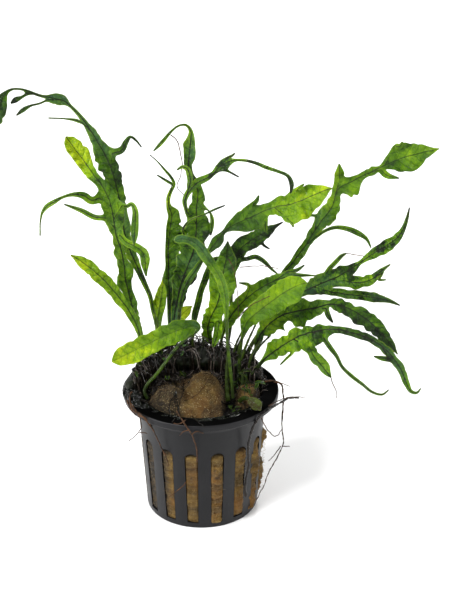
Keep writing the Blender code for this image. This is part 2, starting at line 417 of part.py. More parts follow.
                (49.0, 43.6, 5.8, 1.2, 1.2, 0), (49.3, 46.0, 5.4, 0.8, 0.8, 0),
                (50.7, 47.5, 5.2, 0.7, 0.7, 0), (52.5, 48.5, 5.0, 0.3, 0.3, 0)]),
            dict(at=10, side="right", rows=[
                (55.0, 38.4, 3.8, 2.2, 1.8, 0), (58.4, 38.0, 3.2, 2.2, 1.9, 0),
                (61.8, 39.2, 2.6, 1.6, 1.6, 0), (65.2, 42.2, 2.0, 0.9, 0.8, 0),
                (68.4, 44.5, 1.5, 0.25, 0.25, 0)],
                lobes=[dict(at=2, side="right", rows=[
                    (64.2, 38.9, 2.3, 0.6, 0.6, 0), (66.9, 38.9, 2.0, 0.25, 0.25, 0)])]),
            dict(at=7, side="right", rows=[
                (49.2, 34.2, 5.2, 1.6, 1.3, 0), (53.4, 33.6, 4.5, 1.9, 1.6, 0),
                (58.4, 33.0, 3.5, 1.8, 1.7, 0), (63.5, 32.3, 2.5, 1.5, 1.5, 0),
                (68.2, 31.2, 2.0, 0.8, 0.8, 0), (71.9, 29.6, 1.5, 0.25, 0.25, 0)]),
        ],
    ),
    "frond_ruffled_right": dict(
        rows=[
            (18.2, 9.2, 5.4, 0.8, 0.8, 0), (19.4, 13.0, 4.8, 0.8, 0.8, 0),
            (21.2, 18.6, 3.5, 1.6, 2.2, 0), (24.4, 22.8, 2.0, 2.4, 3.8, 0),
            (28.6, 25.8, 0.5, 3.0, 4.6, 0), (33.4, 27.4, -0.8, 3.2, 4.8, 0),
            (38.6, 28.3, -1.8, 2.9, 4.4, 0), (42.4, 29.0, -2.4, 2.3, 3.0, 0),
            (44.8, 29.7, -2.8, 1.9, 2.2, 0), (47.2, 30.0, -3.2, 1.9, 1.8, 0),
            (52.4, 29.0, -4.2, 2.6, 2.4, 0), (56.2, 27.1, -5.2, 2.9, 2.7, 0),
            (59.8, 24.6, -6.0, 3.0, 2.7, 0), (63.6, 21.2, -6.5, 2.6, 2.4, 0),
            (66.8, 17.8, -7.0, 1.9, 1.8, 0), (69.2, 14.6, -7.5, 1.3, 1.3, 0),
            (71.0, 11.9, -8.0, 0.3, 0.3, 0),
        ],
        lobes=[
            dict(at=8, side="right", rows=[
                (46.2, 25.4, -2.5, 0.9, 0.9, 0), (47.6, 23.4, -2.5, 0.3, 0.3, 0)]),
        ],
    ),
    "frond_lower_right": dict(
        rows=[
            (20.2, 6.9, 2.4, 0.8, 0.8, 0), (23.0, 10.4, 0.0, 1.2, 1.2, 0),
            (26.6, 13.0, -2.0, 2.6, 2.4, 0), (30.6, 16.0, -3.5, 3.1, 3.4, 0),
            (34.8, 18.5, -4.6, 3.1, 4.2, 0), (37.0, 19.4, -5.1, 2.9, 4.6, 0),
            (39.2, 20.1, -5.6, 2.7, 4.8, 0), (42.0, 20.6, -6.3, 2.4, 4.2, 0),
            (44.2, 21.0, -6.8, 1.9, 2.8, 0), (46.2, 21.1, -7.2, 1.7, 2.2, 0),
            (49.6, 20.9, -7.6, 1.4, 1.5, 0), (53.9, 19.9, -8.0, 1.4, 1.3, 0),
            (59.4, 18.2, -8.6, 1.5, 1.5, 0), (63.8, 15.9, -9.2, 1.7, 1.6, 0),
            (67.3, 13.1, -10.2, 1.8, 1.6, 0), (69.0, 11.3, -10.8, 1.7, 1.5, 0),
            (70.4, 9.4, -11.4, 1.6, 1.5, 0), (72.6, 5.6, -12.3, 1.4, 1.3, 0),
            (74.4, 1.2, -13.0, 1.2, 1.2, 0), (76.0, -1.6, -13.5, 0.9, 0.9, 0),
            (77.7, -2.1, -13.8, 0.7, 0.7, 0), (79.4, -0.4, -14.0, 0.3, 0.3, 0),
        ],
        lobes=[
            dict(at=5, side="right", rows=[
                (40.0, 12.4, -6.5, 1.9, 1.7, 0), (43.0, 8.4, -7.5, 2.2, 2.0, 0),
                (45.3, 5.6, -8.3, 1.6, 1.4, 0), (46.9, 3.6, -8.8, 0.3, 0.3, 0)]),
            dict(at=3, side="right", rows=[
                (31.0, 10.6, -4.0, 0.5, 0.5, 0), (28.5, 8.1, -4.4, 0.25, 0.25, 0)]),
            dict(at=8, side="right", rows=[
                (46.6, 14.4, -8.0, 0.9, 0.9, 0), (49.0, 11.2, -8.5, 0.7, 0.7, 0),
                (50.8, 7.6, -9.0, 0.6, 0.6, 0), (54.0, 4.4, -9.5, 0.7, 0.7, 0),
                (58.4, 1.0, -10.2, 0.6, 0.6, 0), (62.2, -1.9, -10.8, 0.5, 0.5, 0),
                (65.6, -2.6, -11.0, 0.4, 0.4, 0), (67.8, -0.9, -11.0, 0.25, 0.25, 0)]),
            dict(at=15, side="right", rows=[
                (65.4, 10.6, -11.0, 1.0, 0.8, 0), (62.4, 11.2, -11.0, 0.25, 0.25, 0)]),
        ],
    ),
    "leaf_over_rim": dict(
        rows=[
            (16.8, -4.0, -13.8, 0.7, 0.7, 0), (18.2, -5.0, -16.5, 1.6, 1.4, 0),
            (20.0, -6.6, -20.5, 2.1, 1.8, 0), (21.4, -8.2, -24.5, 0.5, 0.5, 0),
        ],
    ),
}

ROOT_RADIUS = 0.35 * MM
ROOT_SPACING = 3.6 * MM
# Each root's route: right, up and back, from where it leaves the crown to its free end.
ROOTS = {
    "root_right_outer": [
        (23.0, 1.8, 0.0), (26.0, 2.4, 0.0), (28.8, 1.2, 0.0), (29.7, -2.6, 0.0),
        (29.6, -7.5, 0.0),
        (29.2, -13.6, -1.0), (29.6, -20.5, -1.5), (27.2, -25.9, -5.0), (24.6, -30.2, -8.0),
        (22.8, -34.9, -9.0), (20.0, -40.7, -10.0)],
    "root_right_front": [
        (35.0, -3.8, 0.0), (31.7, -3.8, -5.0), (28.8, -5.6, -10.5), (24.9, -7.5, -16.0),
        (21.4, -10.2, -20.0), (18.9, -14.3, -20.5), (17.2, -20.1, -19.0), (17.2, -28.8, -17.6),
        (16.0, -35.3, -17.2), (16.2, -39.3, -16.6)],
    "root_left": [
        (-25.0, -1.6, -9.5), (-26.0, -3.4, -13.4), (-25.4, -7.1, -16.4), (-20.6, -11.4, -22.6),
        (-18.0, -14.8, -22.6), (-15.6, -19.4, -20.4), (-13.2, -24.4, -20.2)],
    "root_centre": [
        (-9.0, -8.6, -24.5), (-7.7, -10.5, -27.5), (-6.0, -13.2, -29.6), (-4.4, -15.6, -29.2),
        (-2.6, -18.9, -26.6), (-1.6, -23.0, -25.0), (-1.6, -26.8, -24.2)],
    "root_aerial": [
        (9.9, 46.6, -2.5), (11.5, 43.2, -4.0), (12.9, 36.7, -5.0), (13.3, 30.0, -5.0),
        (13.4, 24.0, -4.0)],
}

POT_COLOUR = (0.012, 0.013, 0.014)
ROCKWOOL_COLOUR = (0.33, 0.21, 0.07)
RHIZOME_COLOUR = (0.02, 0.025, 0.012)
ROOT_COLOUR = (0.03, 0.018, 0.012)
BRIGHT_GREEN = (0.13, 0.30, 0.02)
MID_GREEN = (0.06, 0.17, 0.02)
DARK_GREEN = (0.015, 0.06, 0.015)
FROND_COLOURS = {
    "frond_left_pale": BRIGHT_GREEN,
    "frond_left_low": BRIGHT_GREEN,
    "frond_front_left": BRIGHT_GREEN,
    "frond_inner_bright": BRIGHT_GREEN,
    "frond_small_yellow": BRIGHT_GREEN,
    "frond_upper_right": BRIGHT_GREEN,
    "frond_wide_right": BRIGHT_GREEN,
    "frond_centre_dark": DARK_GREEN,
    "frond_narrow_glossy": DARK_GREEN,
    "frond_dark_right": DARK_GREEN,
    "leaf_over_rim": DARK_GREEN,
}


def clear_scene():
    for item in list(bpy.data.objects):
        bpy.data.objects.remove(item, do_unlink=True)


def make_collection(name):
    collection = bpy.data.collections.new(name)
    bpy.context.scene.collection.children.link(collection)
    return collection


def make_material(name, colour, roughness):
    material = bpy.data.materials.new(name)
    material.use_nodes = True
    shader = material.node_tree.nodes["Principled BSDF"]
    shader.inputs["Base Color"].default_value = (*colour, 1.0)
    shader.inputs["Roughness"].default_value = roughness
    shader.inputs["Metallic"].default_value = 0.0
    return material


def add_object(name, mesh, collection, material=None):
    item = bpy.data.objects.new(name, mesh)
    collection.objects.link(item)
    if material:
        mesh.materials.append(material)
    return item


def mesh_from(name, bm):
    mesh = bpy.data.meshes.new(name)
    bm.to_mesh(mesh)
    bm.free()
    return mesh


def smooth(mesh, degrees=40):
    mesh.shade_smooth()
    mesh.set_sharp_from_angle(angle=math.radians(degrees))


def around(radius, angle, height):
    """A point round the pot's axis, its angle measured from the front towards the right."""
    return Vector((radius * math.sin(angle), -radius * math.cos(angle), height))


def seen(right, up, back):
    """The point that the eye sees at (right, up), at the stated distance behind the axis."""
    x, y, depth = right * MM, up * MM, back * MM
    rise = math.sin(EYE_PITCH)
    level = math.cos(EYE_PITCH)
    near = (rise * y - depth) / (level + rise * (y - EYE_UP) / EYE_DISTANCE)
    shrink = 1.0 - near / EYE_DISTANCE
    across = EYE_RIGHT + (x - EYE_RIGHT) * shrink
    height = EYE_UP + (y - EYE_UP) * shrink
    return Vector((across, height * rise - near * level, POT_HEIGHT + height * level + near * rise))


def eye():
    rise = math.sin(EYE_PITCH)
    level = math.cos(EYE_PITCH)
    return Vector((EYE_RIGHT, EYE_UP * rise - EYE_DISTANCE * level,
                   POT_HEIGHT + EYE_UP * level + EYE_DISTANCE * rise))


def wall_radius(height):
    """The outer radius of the pot's body at a height."""
    share = height / (POT_HEIGHT - RIM_THICKNESS)
    return BODY_BASE_RADIUS + (BODY_TOP_RADIUS - BODY_BASE_RADIUS) * share


def pot_profile():
    under_rim = POT_HEIGHT - RIM_THICKNESS
    ridge = POT_HEIGHT - RIDGE_DROP
    lip = POT_HEIGHT - LIP_DROP
    inner_top = BODY_TOP_RADIUS - WALL
    return [
        (0.0, FLOOR),
        (wall_radius(FLOOR) - WALL, FLOOR),
        (inner_top, POT_HEIGHT),
        (RIM_RADIUS - EDGE, POT_HEIGHT),
        (RIM_RADIUS, POT_HEIGHT - EDGE),
        (RIM_RADIUS, lip),
        (RIM_RADIUS - LIP_THICKNESS, lip),
        (RIM_RADIUS - LIP_THICKNESS, under_rim),
        (BODY_TOP_RADIUS + RIDGE_STAND, under_rim),
        (wall_radius(ridge) + RIDGE_STAND, ridge),
        (wall_radius(ridge - RIDGE_HEIGHT), ridge - RIDGE_HEIGHT),
        (BODY_BASE_RADIUS, 0.0),
        (0.0, 0.0),
    ]


def turned(name, profile, steps, collection, material):
    mesh = bpy.data.meshes.new(name)
    points = [(radius, 0.0, height) for radius, height in profile]
    edges = [(i, i + 1) for i in range(len(points) - 1)]
    mesh.from_pydata(points, edges, [])
    item = add_object(name, mesh, collection, material)
    screw = item.modifiers.new("Turn", "SCREW")
    screw.steps = steps
    screw.render_steps = steps
    screw.use_merge_vertices = True
    screw.merge_threshold = 0.00001
    screw.use_smooth_shade = True
    return item


def slot_outline():
    """The slot's outline as (half way across, height), flat at the foot and round at the top."""
    half_top = SLOT_TOP_WIDTH / 2
    spring = SLOT_TOP - half_top
    outline = [(-SLOT_BOTTOM_WIDTH / 2, SLOT_BOTTOM), (SLOT_BOTTOM_WIDTH / 2, SLOT_BOTTOM)]
    for step in range(SLOT_ARC_STEPS + 1):
        angle = math.pi * step / SLOT_ARC_STEPS
        outline.append((half_top * math.cos(angle), spring + half_top * math.sin(angle)))
    return outline


def slot_cutter(angle, collection):
    """A prism through the wall, wide enough to clear both of its faces."""
    bm = bmesh.new()
    inside = BODY_BASE_RADIUS - 4 * WALL
    outside = BODY_TOP_RADIUS + 4 * WALL
    turn = Matrix.Rotation(angle, 4, "Z")
    loops = []
    for radius in (inside, outside):
        loops.append([bm.verts.new(turn @ Vector((x, -radius, z))) for x, z in slot_outline()])
    near, far = loops
    bm.faces.new(near)
    bm.faces.new(far)
    for i in range(len(near)):
        j = (i + 1) % len(near)
        bm.faces.new((near[i], near[j], far[j], far[i]))
    bmesh.ops.recalc_face_normals(bm, faces=bm.faces)
    return add_object("slot_cutter", mesh_from("slot_cutter", bm), collection)


def drain_cutter(angle, collection):
    bm = bmesh.new()
    bmesh.ops.create_cone(bm, cap_ends=True, segments=DRAIN_SIDES, radius1=DRAIN_RADIUS,
                          radius2=DRAIN_RADIUS, depth=4 * FLOOR)
    bmesh.ops.translate(bm, verts=bm.verts, vec=around(DRAIN_RING, angle, FLOOR / 2))
    return add_object("drain_cutter", mesh_from("drain_cutter", bm), collection)


def slot_angles():
    return [FIRST_SLOT + math.tau * i / SLOT_COUNT for i in range(SLOT_COUNT)]


def make_pot(collection, cutters):
    material = make_material("black_plastic", POT_COLOUR, 0.35)
    pot = turned("net_pot", pot_profile(), POT_STEPS, collection, material)
    tools = [slot_cutter(angle, cutters) for angle in slot_angles()]
    tools += [drain_cutter(math.tau * i / DRAIN_HOLES, cutters) for i in range(DRAIN_HOLES)]
    for tool in tools:
        tool.hide_render = True
        tool.display_type = "WIRE"
    cut = pot.modifiers.new("Openings", "BOOLEAN")
    cut.operand_type = "COLLECTION"
    cut.collection = cutters
    cut.solver = "EXACT"
    cut.operation = "DIFFERENCE"


def plug_surface(x, y):
    """The height of the plug's top at a place, its torn lumps included."""
    height = PLUG_TOP
    for middle, half, rise, slope in PLUG_LUMPS:
        away_x = (x / MM - middle[0]) / half[0]
        away_y = (y / MM - middle[1]) / half[1]
        away = away_x * away_x + away_y * away_y
        if away < 1.0:
            lift = rise * MM * (1.0 - away) ** 0.5 + slope * (y - middle[1] * MM) * (1.0 - away)
            height = max(height, PLUG_TOP + lift)
    return height


def plug_columns():
    """Angles round the plug, with four at each slot, each with the slot's bulge or none."""
    columns = []
    for angle, bulge in zip(slot_angles(), PLUG_BULGES):
        inner = (SLOT_BOTTOM_WIDTH / 2 - GAP) / BODY_TOP_RADIUS
        outer = inner - 0.25 * MM / BODY_TOP_RADIUS
        columns += [(angle - inner, None), (angle - outer, bulge),
                    (angle + outer, bulge), (angle + inner, None)]
    return columns


def plug_rows():
    """Heights up the plug's side, each with whether it fills the slots."""
    foot = SLOT_BOTTOM + GAP
    spring = SLOT_TOP - SLOT_TOP_WIDTH / 2
    rows = [(FLOOR + GAP, False), (foot, False)]
    for step in range(PLUG_ROWS + 1):
        rows.append((foot + 0.3 * MM + (spring - foot - 0.3 * MM) * step / PLUG_ROWS, True))
    rows.append((spring + 0.6 * MM, False))
    return rows


def make_plug(collection):
    """The rockwool: a filled cone that swells through the slots, with torn lumps on top."""
    bm = bmesh.new()
    columns = plug_columns()
    loops = []
    for height, fills in plug_rows():
        loop = []
        for angle, bulge in columns:
            radius = wall_radius(height) - WALL - GAP
            if fills and bulge is not None:
                swell = bulge * (0.8 + 0.3 * math.sin(height / (3.1 * MM) + angle * 5.0))
                radius = wall_radius(height) + swell * MM
            loop.append(bm.verts.new(around(radius, angle, height)))
        loops.append(loop)
    rim = BODY_TOP_RADIUS - WALL - 3 * GAP
    for ring in range(PLUG_RINGS):
        radius = rim * (1.0 - ring / PLUG_RINGS)
        loop = []
        for angle, _ in columns:
            spot = around(radius, angle, 0.0)
            height = POT_HEIGHT + plug_surface(spot.x, spot.y)
            height += PLUG_ROUGHNESS * noise.noise(spot / (3.0 * MM))
            loop.append(bm.verts.new((spot.x, spot.y, height)))
        loops.append(loop)
    for low, high in zip(loops, loops[1:]):
        for i in range(len(columns)):
            j = (i + 1) % len(columns)
            bm.faces.new((low[i], low[j], high[j], high[i]))
    bottom = bm.verts.new((0.0, 0.0, plug_rows()[0][0]))
    top = bm.verts.new((0.0, 0.0, POT_HEIGHT + plug_surface(0.0, 0.0)))
    for i in range(len(columns)):
        j = (i + 1) % len(columns)
        bm.faces.new((bottom, loops[0][j], loops[0][i]))
        bm.faces.new((top, loops[-1][i], loops[-1][j]))
    mesh = mesh_from("rockwool_plug", bm)
    smooth(mesh, 50)
    add_object("rockwool_plug", mesh, collection,
               make_material("rockwool", ROCKWOOL_COLOUR, 0.95))


def between(a, b, c, d, share):
    """A point on the smooth curve through b and c, a share of the way from b to c."""
    square = share * share
    cube = square * share
    return 0.5 * (2 * b + (c - a) * share + (2 * a - 5 * b + 4 * c - d) * square
                  + (3 * b - a - 3 * c + d) * cube)


def smooth_route(points, spacing):
    """Points at about equal spacing along the smooth curve through a route."""
    ends = [points[0]] + list(points) + [points[-1]]
    route = []
    for a, b, c, d in zip(ends, ends[1:], ends[2:], ends[3:]):
        steps = max(1, round((c - b).length / spacing))
        route += [between(a, b, c, d, step / steps) for step in range(steps)]
    return route + [points[-1]]


def tube(name, points, radii, sides, collection, material):
    """A tube with round ends closed by caps, through the points at the stated radii."""
    curve = bpy.data.curves.new(name, "CURVE")
    curve.dimensions = "3D"
    curve.bevel_depth = 1.0
    curve.bevel_resolution = max(0, sides // 2 - 2)
    curve.use_fill_caps = True
    spline = curve.splines.new("POLY")
    spline.points.add(len(points) - 1)
    for spot, point, radius in zip(spline.points, points, radii):
        spot.co = (*point, 1.0)
        spot.radius = radius
    item = bpy.data.objects.new(name, curve)
    collection.objects.link(item)
    curve.materials.append(material)
    return item


def make_rhizome(collection):
    """The creeping rhizome with its mat of roots, along the back of the plug."""
    points = []
    radii = []
    stations = [Vector(station) for station in RHIZOME]
    for station in smooth_route(stations, 5.0):
        right, back, up, radius = station
        points.append(Vector((right * MM, back * MM, POT_HEIGHT + up * MM)))
        radii.append(radius * MM)
    material = make_material("rhizome", RHIZOME_COLOUR, 0.8)
    tube("rhizome", points, radii, RHIZOME_SIDES, collection, material)


def make_roots(collection):
    material = make_material("root", ROOT_COLOUR, 0.6)
    for name, route in ROOTS.items():
        points = smooth_route([seen(*place) for place in route], ROOT_SPACING)
        tube(name, points, [ROOT_RADIUS] * len(points), 6, collection, material)


def strip_frames(spine):
    """For each row of a strip, the directions of its right margin and of its upper face."""
    viewer = eye()
    frames = []
    for i, row in enumerate(spine):
        before = spine[max(i - 1, 0)][0]
        after = spine[min(i + 1, len(spine) - 1)][0]
        along = (after - before).normalized()
        side = along.cross((viewer - row[0]).normalized()).normalized()
        side = Matrix.Rotation(math.radians(row[3]), 3, along) @ side
        frames.append((side, side.cross(along)))
    return frames


def add_strip(bm, rows, foot, lobes, weights):
    """Grow a strip three points wide from its foot, and its lobes from its margins."""
    spine = [(seen(*row[:3]), row[3] * MM, row[4] * MM, row[5]) for row in rows]
    grid = [foot] if foot else []
    if foot:
        spine = [(foot[1].co.copy(), 0.0, 0.0, 0.0)] + spine
    frames = strip_frames(spine)
    first = 1 if foot else 0
    for (point, left, right, _), (side, face) in list(zip(spine, frames))[first:]:
        middle = bm.verts.new(point - face * KEEL * (left + right) / 2)
        row = (bm.verts.new(point - side * left), middle, bm.verts.new(point + side * right))
        grid.append(row)
        stalk = not foot and max(left, right) <= PETIOLE_HALF_WIDTH * MM
        for vertex in row:
            weights[vertex] = 1.0 if stalk and len(grid) < len(rows) // 2 else 0.0
    for low, high in zip(grid, grid[1:]):
        bm.faces.new((low[0], low[1], high[1], high[0]))
        bm.faces.new((low[1], low[2], high[2], high[1]))
    for lobe in lobes:
        at = lobe["at"] + first
        column = 0 if lobe["side"] == "left" else 2
        base = [grid[at - 1][column], grid[at][column], grid[at + 1][column]]
        if lobe["side"] == "right":
            base.reverse()
        add_strip(bm, lobe["rows"], base, lobe.get("lobes", []), weights)


def make_frond(name, design, collection, material):
    """One frond: stalk, blade and side lobes as one thin shell, thicker along the stalk."""
    bm = bmesh.new()
    weights = {}
    add_strip(bm, design["rows"], None, design.get("lobes", []), weights)
    bm.verts.index_update()
    stalk = [vertex.index for vertex, weight in weights.items() if weight > 0.5]
    mesh = mesh_from(name, bm)
    mesh.shade_smooth()
    item = add_object(name, mesh, collection, material)
    group = item.vertex_groups.new(name="stalk")
    group.add(stalk, 1.0, "REPLACE")
    shell = item.modifiers.new("Thickness", "SOLIDIFY")
    shell.thickness = PETIOLE_THICKNESS
    shell.offset = 0.0
    shell.vertex_group = group.name
    shell.thickness_vertex_group = BLADE_THICKNESS / PETIOLE_THICKNESS


def make_fronds(collection):
    for name, design in FRONDS.items():
        material = make_material(name, FROND_COLOURS.get(name, MID_GREEN), 0.4)
        make_frond(name, design, collection, material)


def main():
    clear_scene()
    parts = make_collection("potted_phoenix_tail_java_fern")
    cutters = make_collection("cutters")
    make_pot(parts, cutters)
    make_plug(parts)
    make_rhizome(parts)
    make_fronds(parts)
    make_roots(parts)


main()
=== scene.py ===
"""The finished look of a potted phoenix tail java fern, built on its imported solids.

Fronds and roots are laid out as a person in front of the plant sees them: millimetres to the
right of the pot's axis, millimetres up the line of sight from the middle of the rim, and
millimetres back from the pot's axis.
"""
import json
import math
import random

import bmesh
import bpy
import numpy as np
from mathutils import Matrix, Vector, bvhtree, kdtree, noise

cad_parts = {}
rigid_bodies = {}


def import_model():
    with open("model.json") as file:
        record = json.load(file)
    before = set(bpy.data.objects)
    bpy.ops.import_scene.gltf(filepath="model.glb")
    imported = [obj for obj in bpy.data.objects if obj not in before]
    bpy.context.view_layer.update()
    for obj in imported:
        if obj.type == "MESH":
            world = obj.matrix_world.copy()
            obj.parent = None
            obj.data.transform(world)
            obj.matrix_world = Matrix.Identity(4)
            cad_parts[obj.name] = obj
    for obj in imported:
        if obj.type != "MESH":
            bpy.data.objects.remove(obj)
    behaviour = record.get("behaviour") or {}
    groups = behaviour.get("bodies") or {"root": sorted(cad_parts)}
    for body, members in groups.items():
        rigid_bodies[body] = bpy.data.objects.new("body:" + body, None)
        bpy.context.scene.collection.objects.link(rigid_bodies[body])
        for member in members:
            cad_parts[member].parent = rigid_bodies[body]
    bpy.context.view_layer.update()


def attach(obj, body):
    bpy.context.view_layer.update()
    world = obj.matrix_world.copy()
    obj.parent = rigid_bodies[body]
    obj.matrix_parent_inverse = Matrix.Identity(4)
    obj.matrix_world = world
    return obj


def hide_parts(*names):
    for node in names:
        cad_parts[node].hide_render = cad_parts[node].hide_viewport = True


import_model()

MM = 0.001

EYE_DISTANCE = 434.0 * MM
EYE_RIGHT = 12.2 * MM
EYE_UP = 32.3 * MM
EYE_PITCH = math.radians(23.95)
LENS = 72.48

POT_HEIGHT = 46.6 * MM
RIM_RADIUS = 28.0 * MM
RIM_THICKNESS = 1.0 * MM
LIP_DROP = 2.4 * MM
LIP_THICKNESS = 0.9 * MM
BODY_TOP_RADIUS = 23.3 * MM
BODY_BASE_RADIUS = 20.6 * MM
WALL = 0.9 * MM
FLOOR = 1.2 * MM
RIDGE_DROP = 5.0 * MM
RIDGE_HEIGHT = 0.9 * MM
RIDGE_STAND = 0.35 * MM
# How far each corner of the pot's profile is eased, in millimetres, from the floor's middle round.
POT_EASES = (0.0, 0.8, 0.5, 0.7, 0.3, 0.3, 0.4, 1.2, 0.4, 0.4, 0.5, 0.0)
POT_STEPS = 180
SLOT_COUNT = 15
FIRST_SLOT = math.radians(-8.2)
SLOT_TOP = POT_HEIGHT - 14.6 * MM
SLOT_BOTTOM = 2.2 * MM
SLOT_TOP_WIDTH = 4.8 * MM
SLOT_BOTTOM_WIDTH = 4.0 * MM
SLOT_HALF_WIDTH = 2.6 * MM
DRAIN_HOLES = 6
DRAIN_RADIUS = 1.9 * MM
DRAIN_RING = 13.5 * MM

PLUG_BULGES = (0.2, 0.9, 1.1, 1.2, 1.4, 0.9, 0.5, 0.8, 0.4, 0.7, 0.5, 0.3, 0.1, -0.1, 0.1)
TORN_BULGE = 1.15
TORN_REACH = 1.3 * MM
PLUG_FOOT = 1.5 * MM
PLUG_TOP = -4.5 * MM
# Each lump on the plug: its middle, its half widths, its height and its rise towards the back.
PLUG_LUMPS = (
    ((1.0, -5.4), (8.0, 13.6), 10.2, 0.20),
    ((-11.4, -9.4), (7.6, 10.8), 8.2, 0.05),
    ((-4.2, -14.6), (12.6, 6.8), 5.4, 0.0),
    ((17.0, -3.8), (4.8, 6.4), 7.4, 0.05),
    ((-2.0, 12.0), (22.0, 11.0), 4.2, 0.0),
)
PLUG_COLUMNS = 360
PLUG_SIDE_ROWS = 56
PLUG_RINGS = 70

# The rhizome's route over the plug, from the middle of the rim: right, back, up and radius.
RHIZOME = (
    (-25.6, -6.5, 3.0, 1.6),
    (-25.2, -4.0, 3.1, 2.3),
    (-23.3, 3.0, 3.3, 2.8),
    (-18.0, 10.5, 3.8, 3.7),
    (-9.0, 15.3, 4.2, 4.6),
    (2.0, 16.4, 4.2, 4.8),
    (12.0, 12.4, 3.8, 4.1),
    (18.0, 6.4, 3.5, 3.3),
    (19.8, 2.6, 3.3, 2.2),
)
RHIZOME_SIDES = 64
RHIZOME_SPACING = 0.5 * MM

# How many roots of each kind make the mat, and how finely they are drawn.
LYING_ROOTS = 240
ARCHING_ROOTS = 80
FRONT_ROOTS = 60
LEFT_END_ROOTS = 90
MAT_SEED = 11
ROOT_STEP = 0.9 * MM
ROOT_SPACING = 0.6 * MM
# Lying roots stay above the rim from its inner radius on, and end at the limit.
RIM_INNER_RADIUS = 22.0 * MM
ROOT_LIMIT = 24.5 * MM
PATH_SPACING = 0.5 * MM

# Loose fibres on the plug's top and in its slots.
TOP_FIBRES = 1500
SLOT_FIBRES = 1800
FIBRE_SEED = 5

# The black growth on the rim: its turns in degrees, 0 in front and more to the right, its inner
# radius in millimetres and its grid.
GROWTH_FROM = -128.0
GROWTH_TO = 72.0
GROWTH_INNER_RADIUS = 22.2
GROWTH_COLUMNS = 420
GROWTH_RINGS = 26

ROW_SPACING = 0.8 * MM
SMOOTHING = 2
RIB_SLANT = 6
STALK_HALF_WIDTH = 1.05 * MM
STALK_SHARE = 0.74
LEAST_HALF_WIDTH = 0.14 * MM
KEEL = 0.28
SCALLOP_PITCH = 4.6 * MM
RUFFLE_PITCH = 6.5 * MM
STALK_THICKNESS = 1.2 * MM
BLADE_THICKNESS = 0.24 * MM
RIB_THICKNESS = 0.50 * MM
RIB_WIDTH = 0.26 * MM
# The side veins: how they slant away from the midrib, and their pitch in millimetres.
VEIN_SLANT = 0.9
VEIN_PITCH = 3.1
LEAFLET_ROWS = 8
LEAF_SEED = 23

# Clumps of small leaves: middle (right, back), spread, number, tone and length, in millimetres.
YOUNG_LEAVES = (
    ((18.5, 1.5), 1.6, 12, 0.10, 4.2),
    ((18.0, -6.5), 1.1, 7, 0.20, 2.8),
    ((12.0, 5.0), 2.2, 12, 0.00, 3.0),
    ((0.0, 15.0), 6.5, 16, -0.12, 2.6),
    ((-14.0, 13.0), 3.6, 9, -0.12, 2.6),
    ((-22.5, -1.0), 1.4, 8, -0.10, 2.2),
    ((12.0, -8.5), 1.0, 6, -0.02, 2.0),
)

# Bare stalks of old fronds on the rhizome: foot, middle and top, each as right, up and back.
OLD_STALKS = (
    ((14.0, 8.0, 8.0), (16.2, 15.0, 7.8), (19.6, 22.6, 7.0)),
    ((16.0, 9.0, 9.0), (19.0, 16.4, 8.6), (23.4, 23.4, 8.0)),
    ((13.0, 9.5, 10.0), (14.2, 16.0, 9.6), (16.9, 23.0, 9.0)),
    ((17.5, 8.5, 7.5), (20.8, 14.4, 6.4), (25.0, 18.8, 5.0)),
    ((11.5, 10.0, 11.5), (12.4, 15.0, 11.8), (14.8, 20.4, 12.0)),
    ((17.0, 7.0, 4.0), (18.6, 12.4, 3.6), (21.6, 17.2, 3.2)),
    ((-19.0, 7.6, 9.5), (-19.2, 11.0, 9.2), (-19.9, 14.2, 9.0)),
    ((-17.2, 8.6, 10.5), (-17.2, 12.0, 10.4), (-17.9, 15.0, 10.2)),
    ((-15.2, 9.4, 11.5), (-15.0, 12.4, 11.6), (-15.6, 15.2, 11.5)),
    ((-22.0, 5.0, 4.0), (-22.0, 8.4, 4.2), (-22.7, 11.7, 4.2)),
    ((-3.0, 12.5, 15.5), (-3.2, 16.4, 15.4), (-2.5, 20.4, 15.0)),
    ((1.0, 12.5, 16.0), (1.0, 16.0, 16.2), (0.2, 19.6, 16.4)),
)
OLD_STALK_RADIUS = 0.46 * MM
MOSSY_STALKS = (
    ((9.7, -4.8, -8.4), (9.4, 0.0, -7.8), (9.3, 5.5, -8.0), (9.8, 12.0, -8.8)),
    ((14.6, -3.4, -3.0), (14.9, 0.0, -2.6), (15.2, 4.6, -2.0)),
    ((14.0, -4.9, -9.4), (15.4, -3.9, -11.6), (17.0, -4.1, -14.4)),
)
MOSSY_RADIUS = 0.75 * MM

# Each hanging root's radius at its start and its end.
ROOT_RADII = {
    "root_right_outer": (0.32, 0.15),
    "root_right_front": (0.46, 0.42),
    "root_left": (0.28, 0.20),
    "root_centre": (0.22, 0.26),
    "root_aerial": (0.16, 0.08),
}

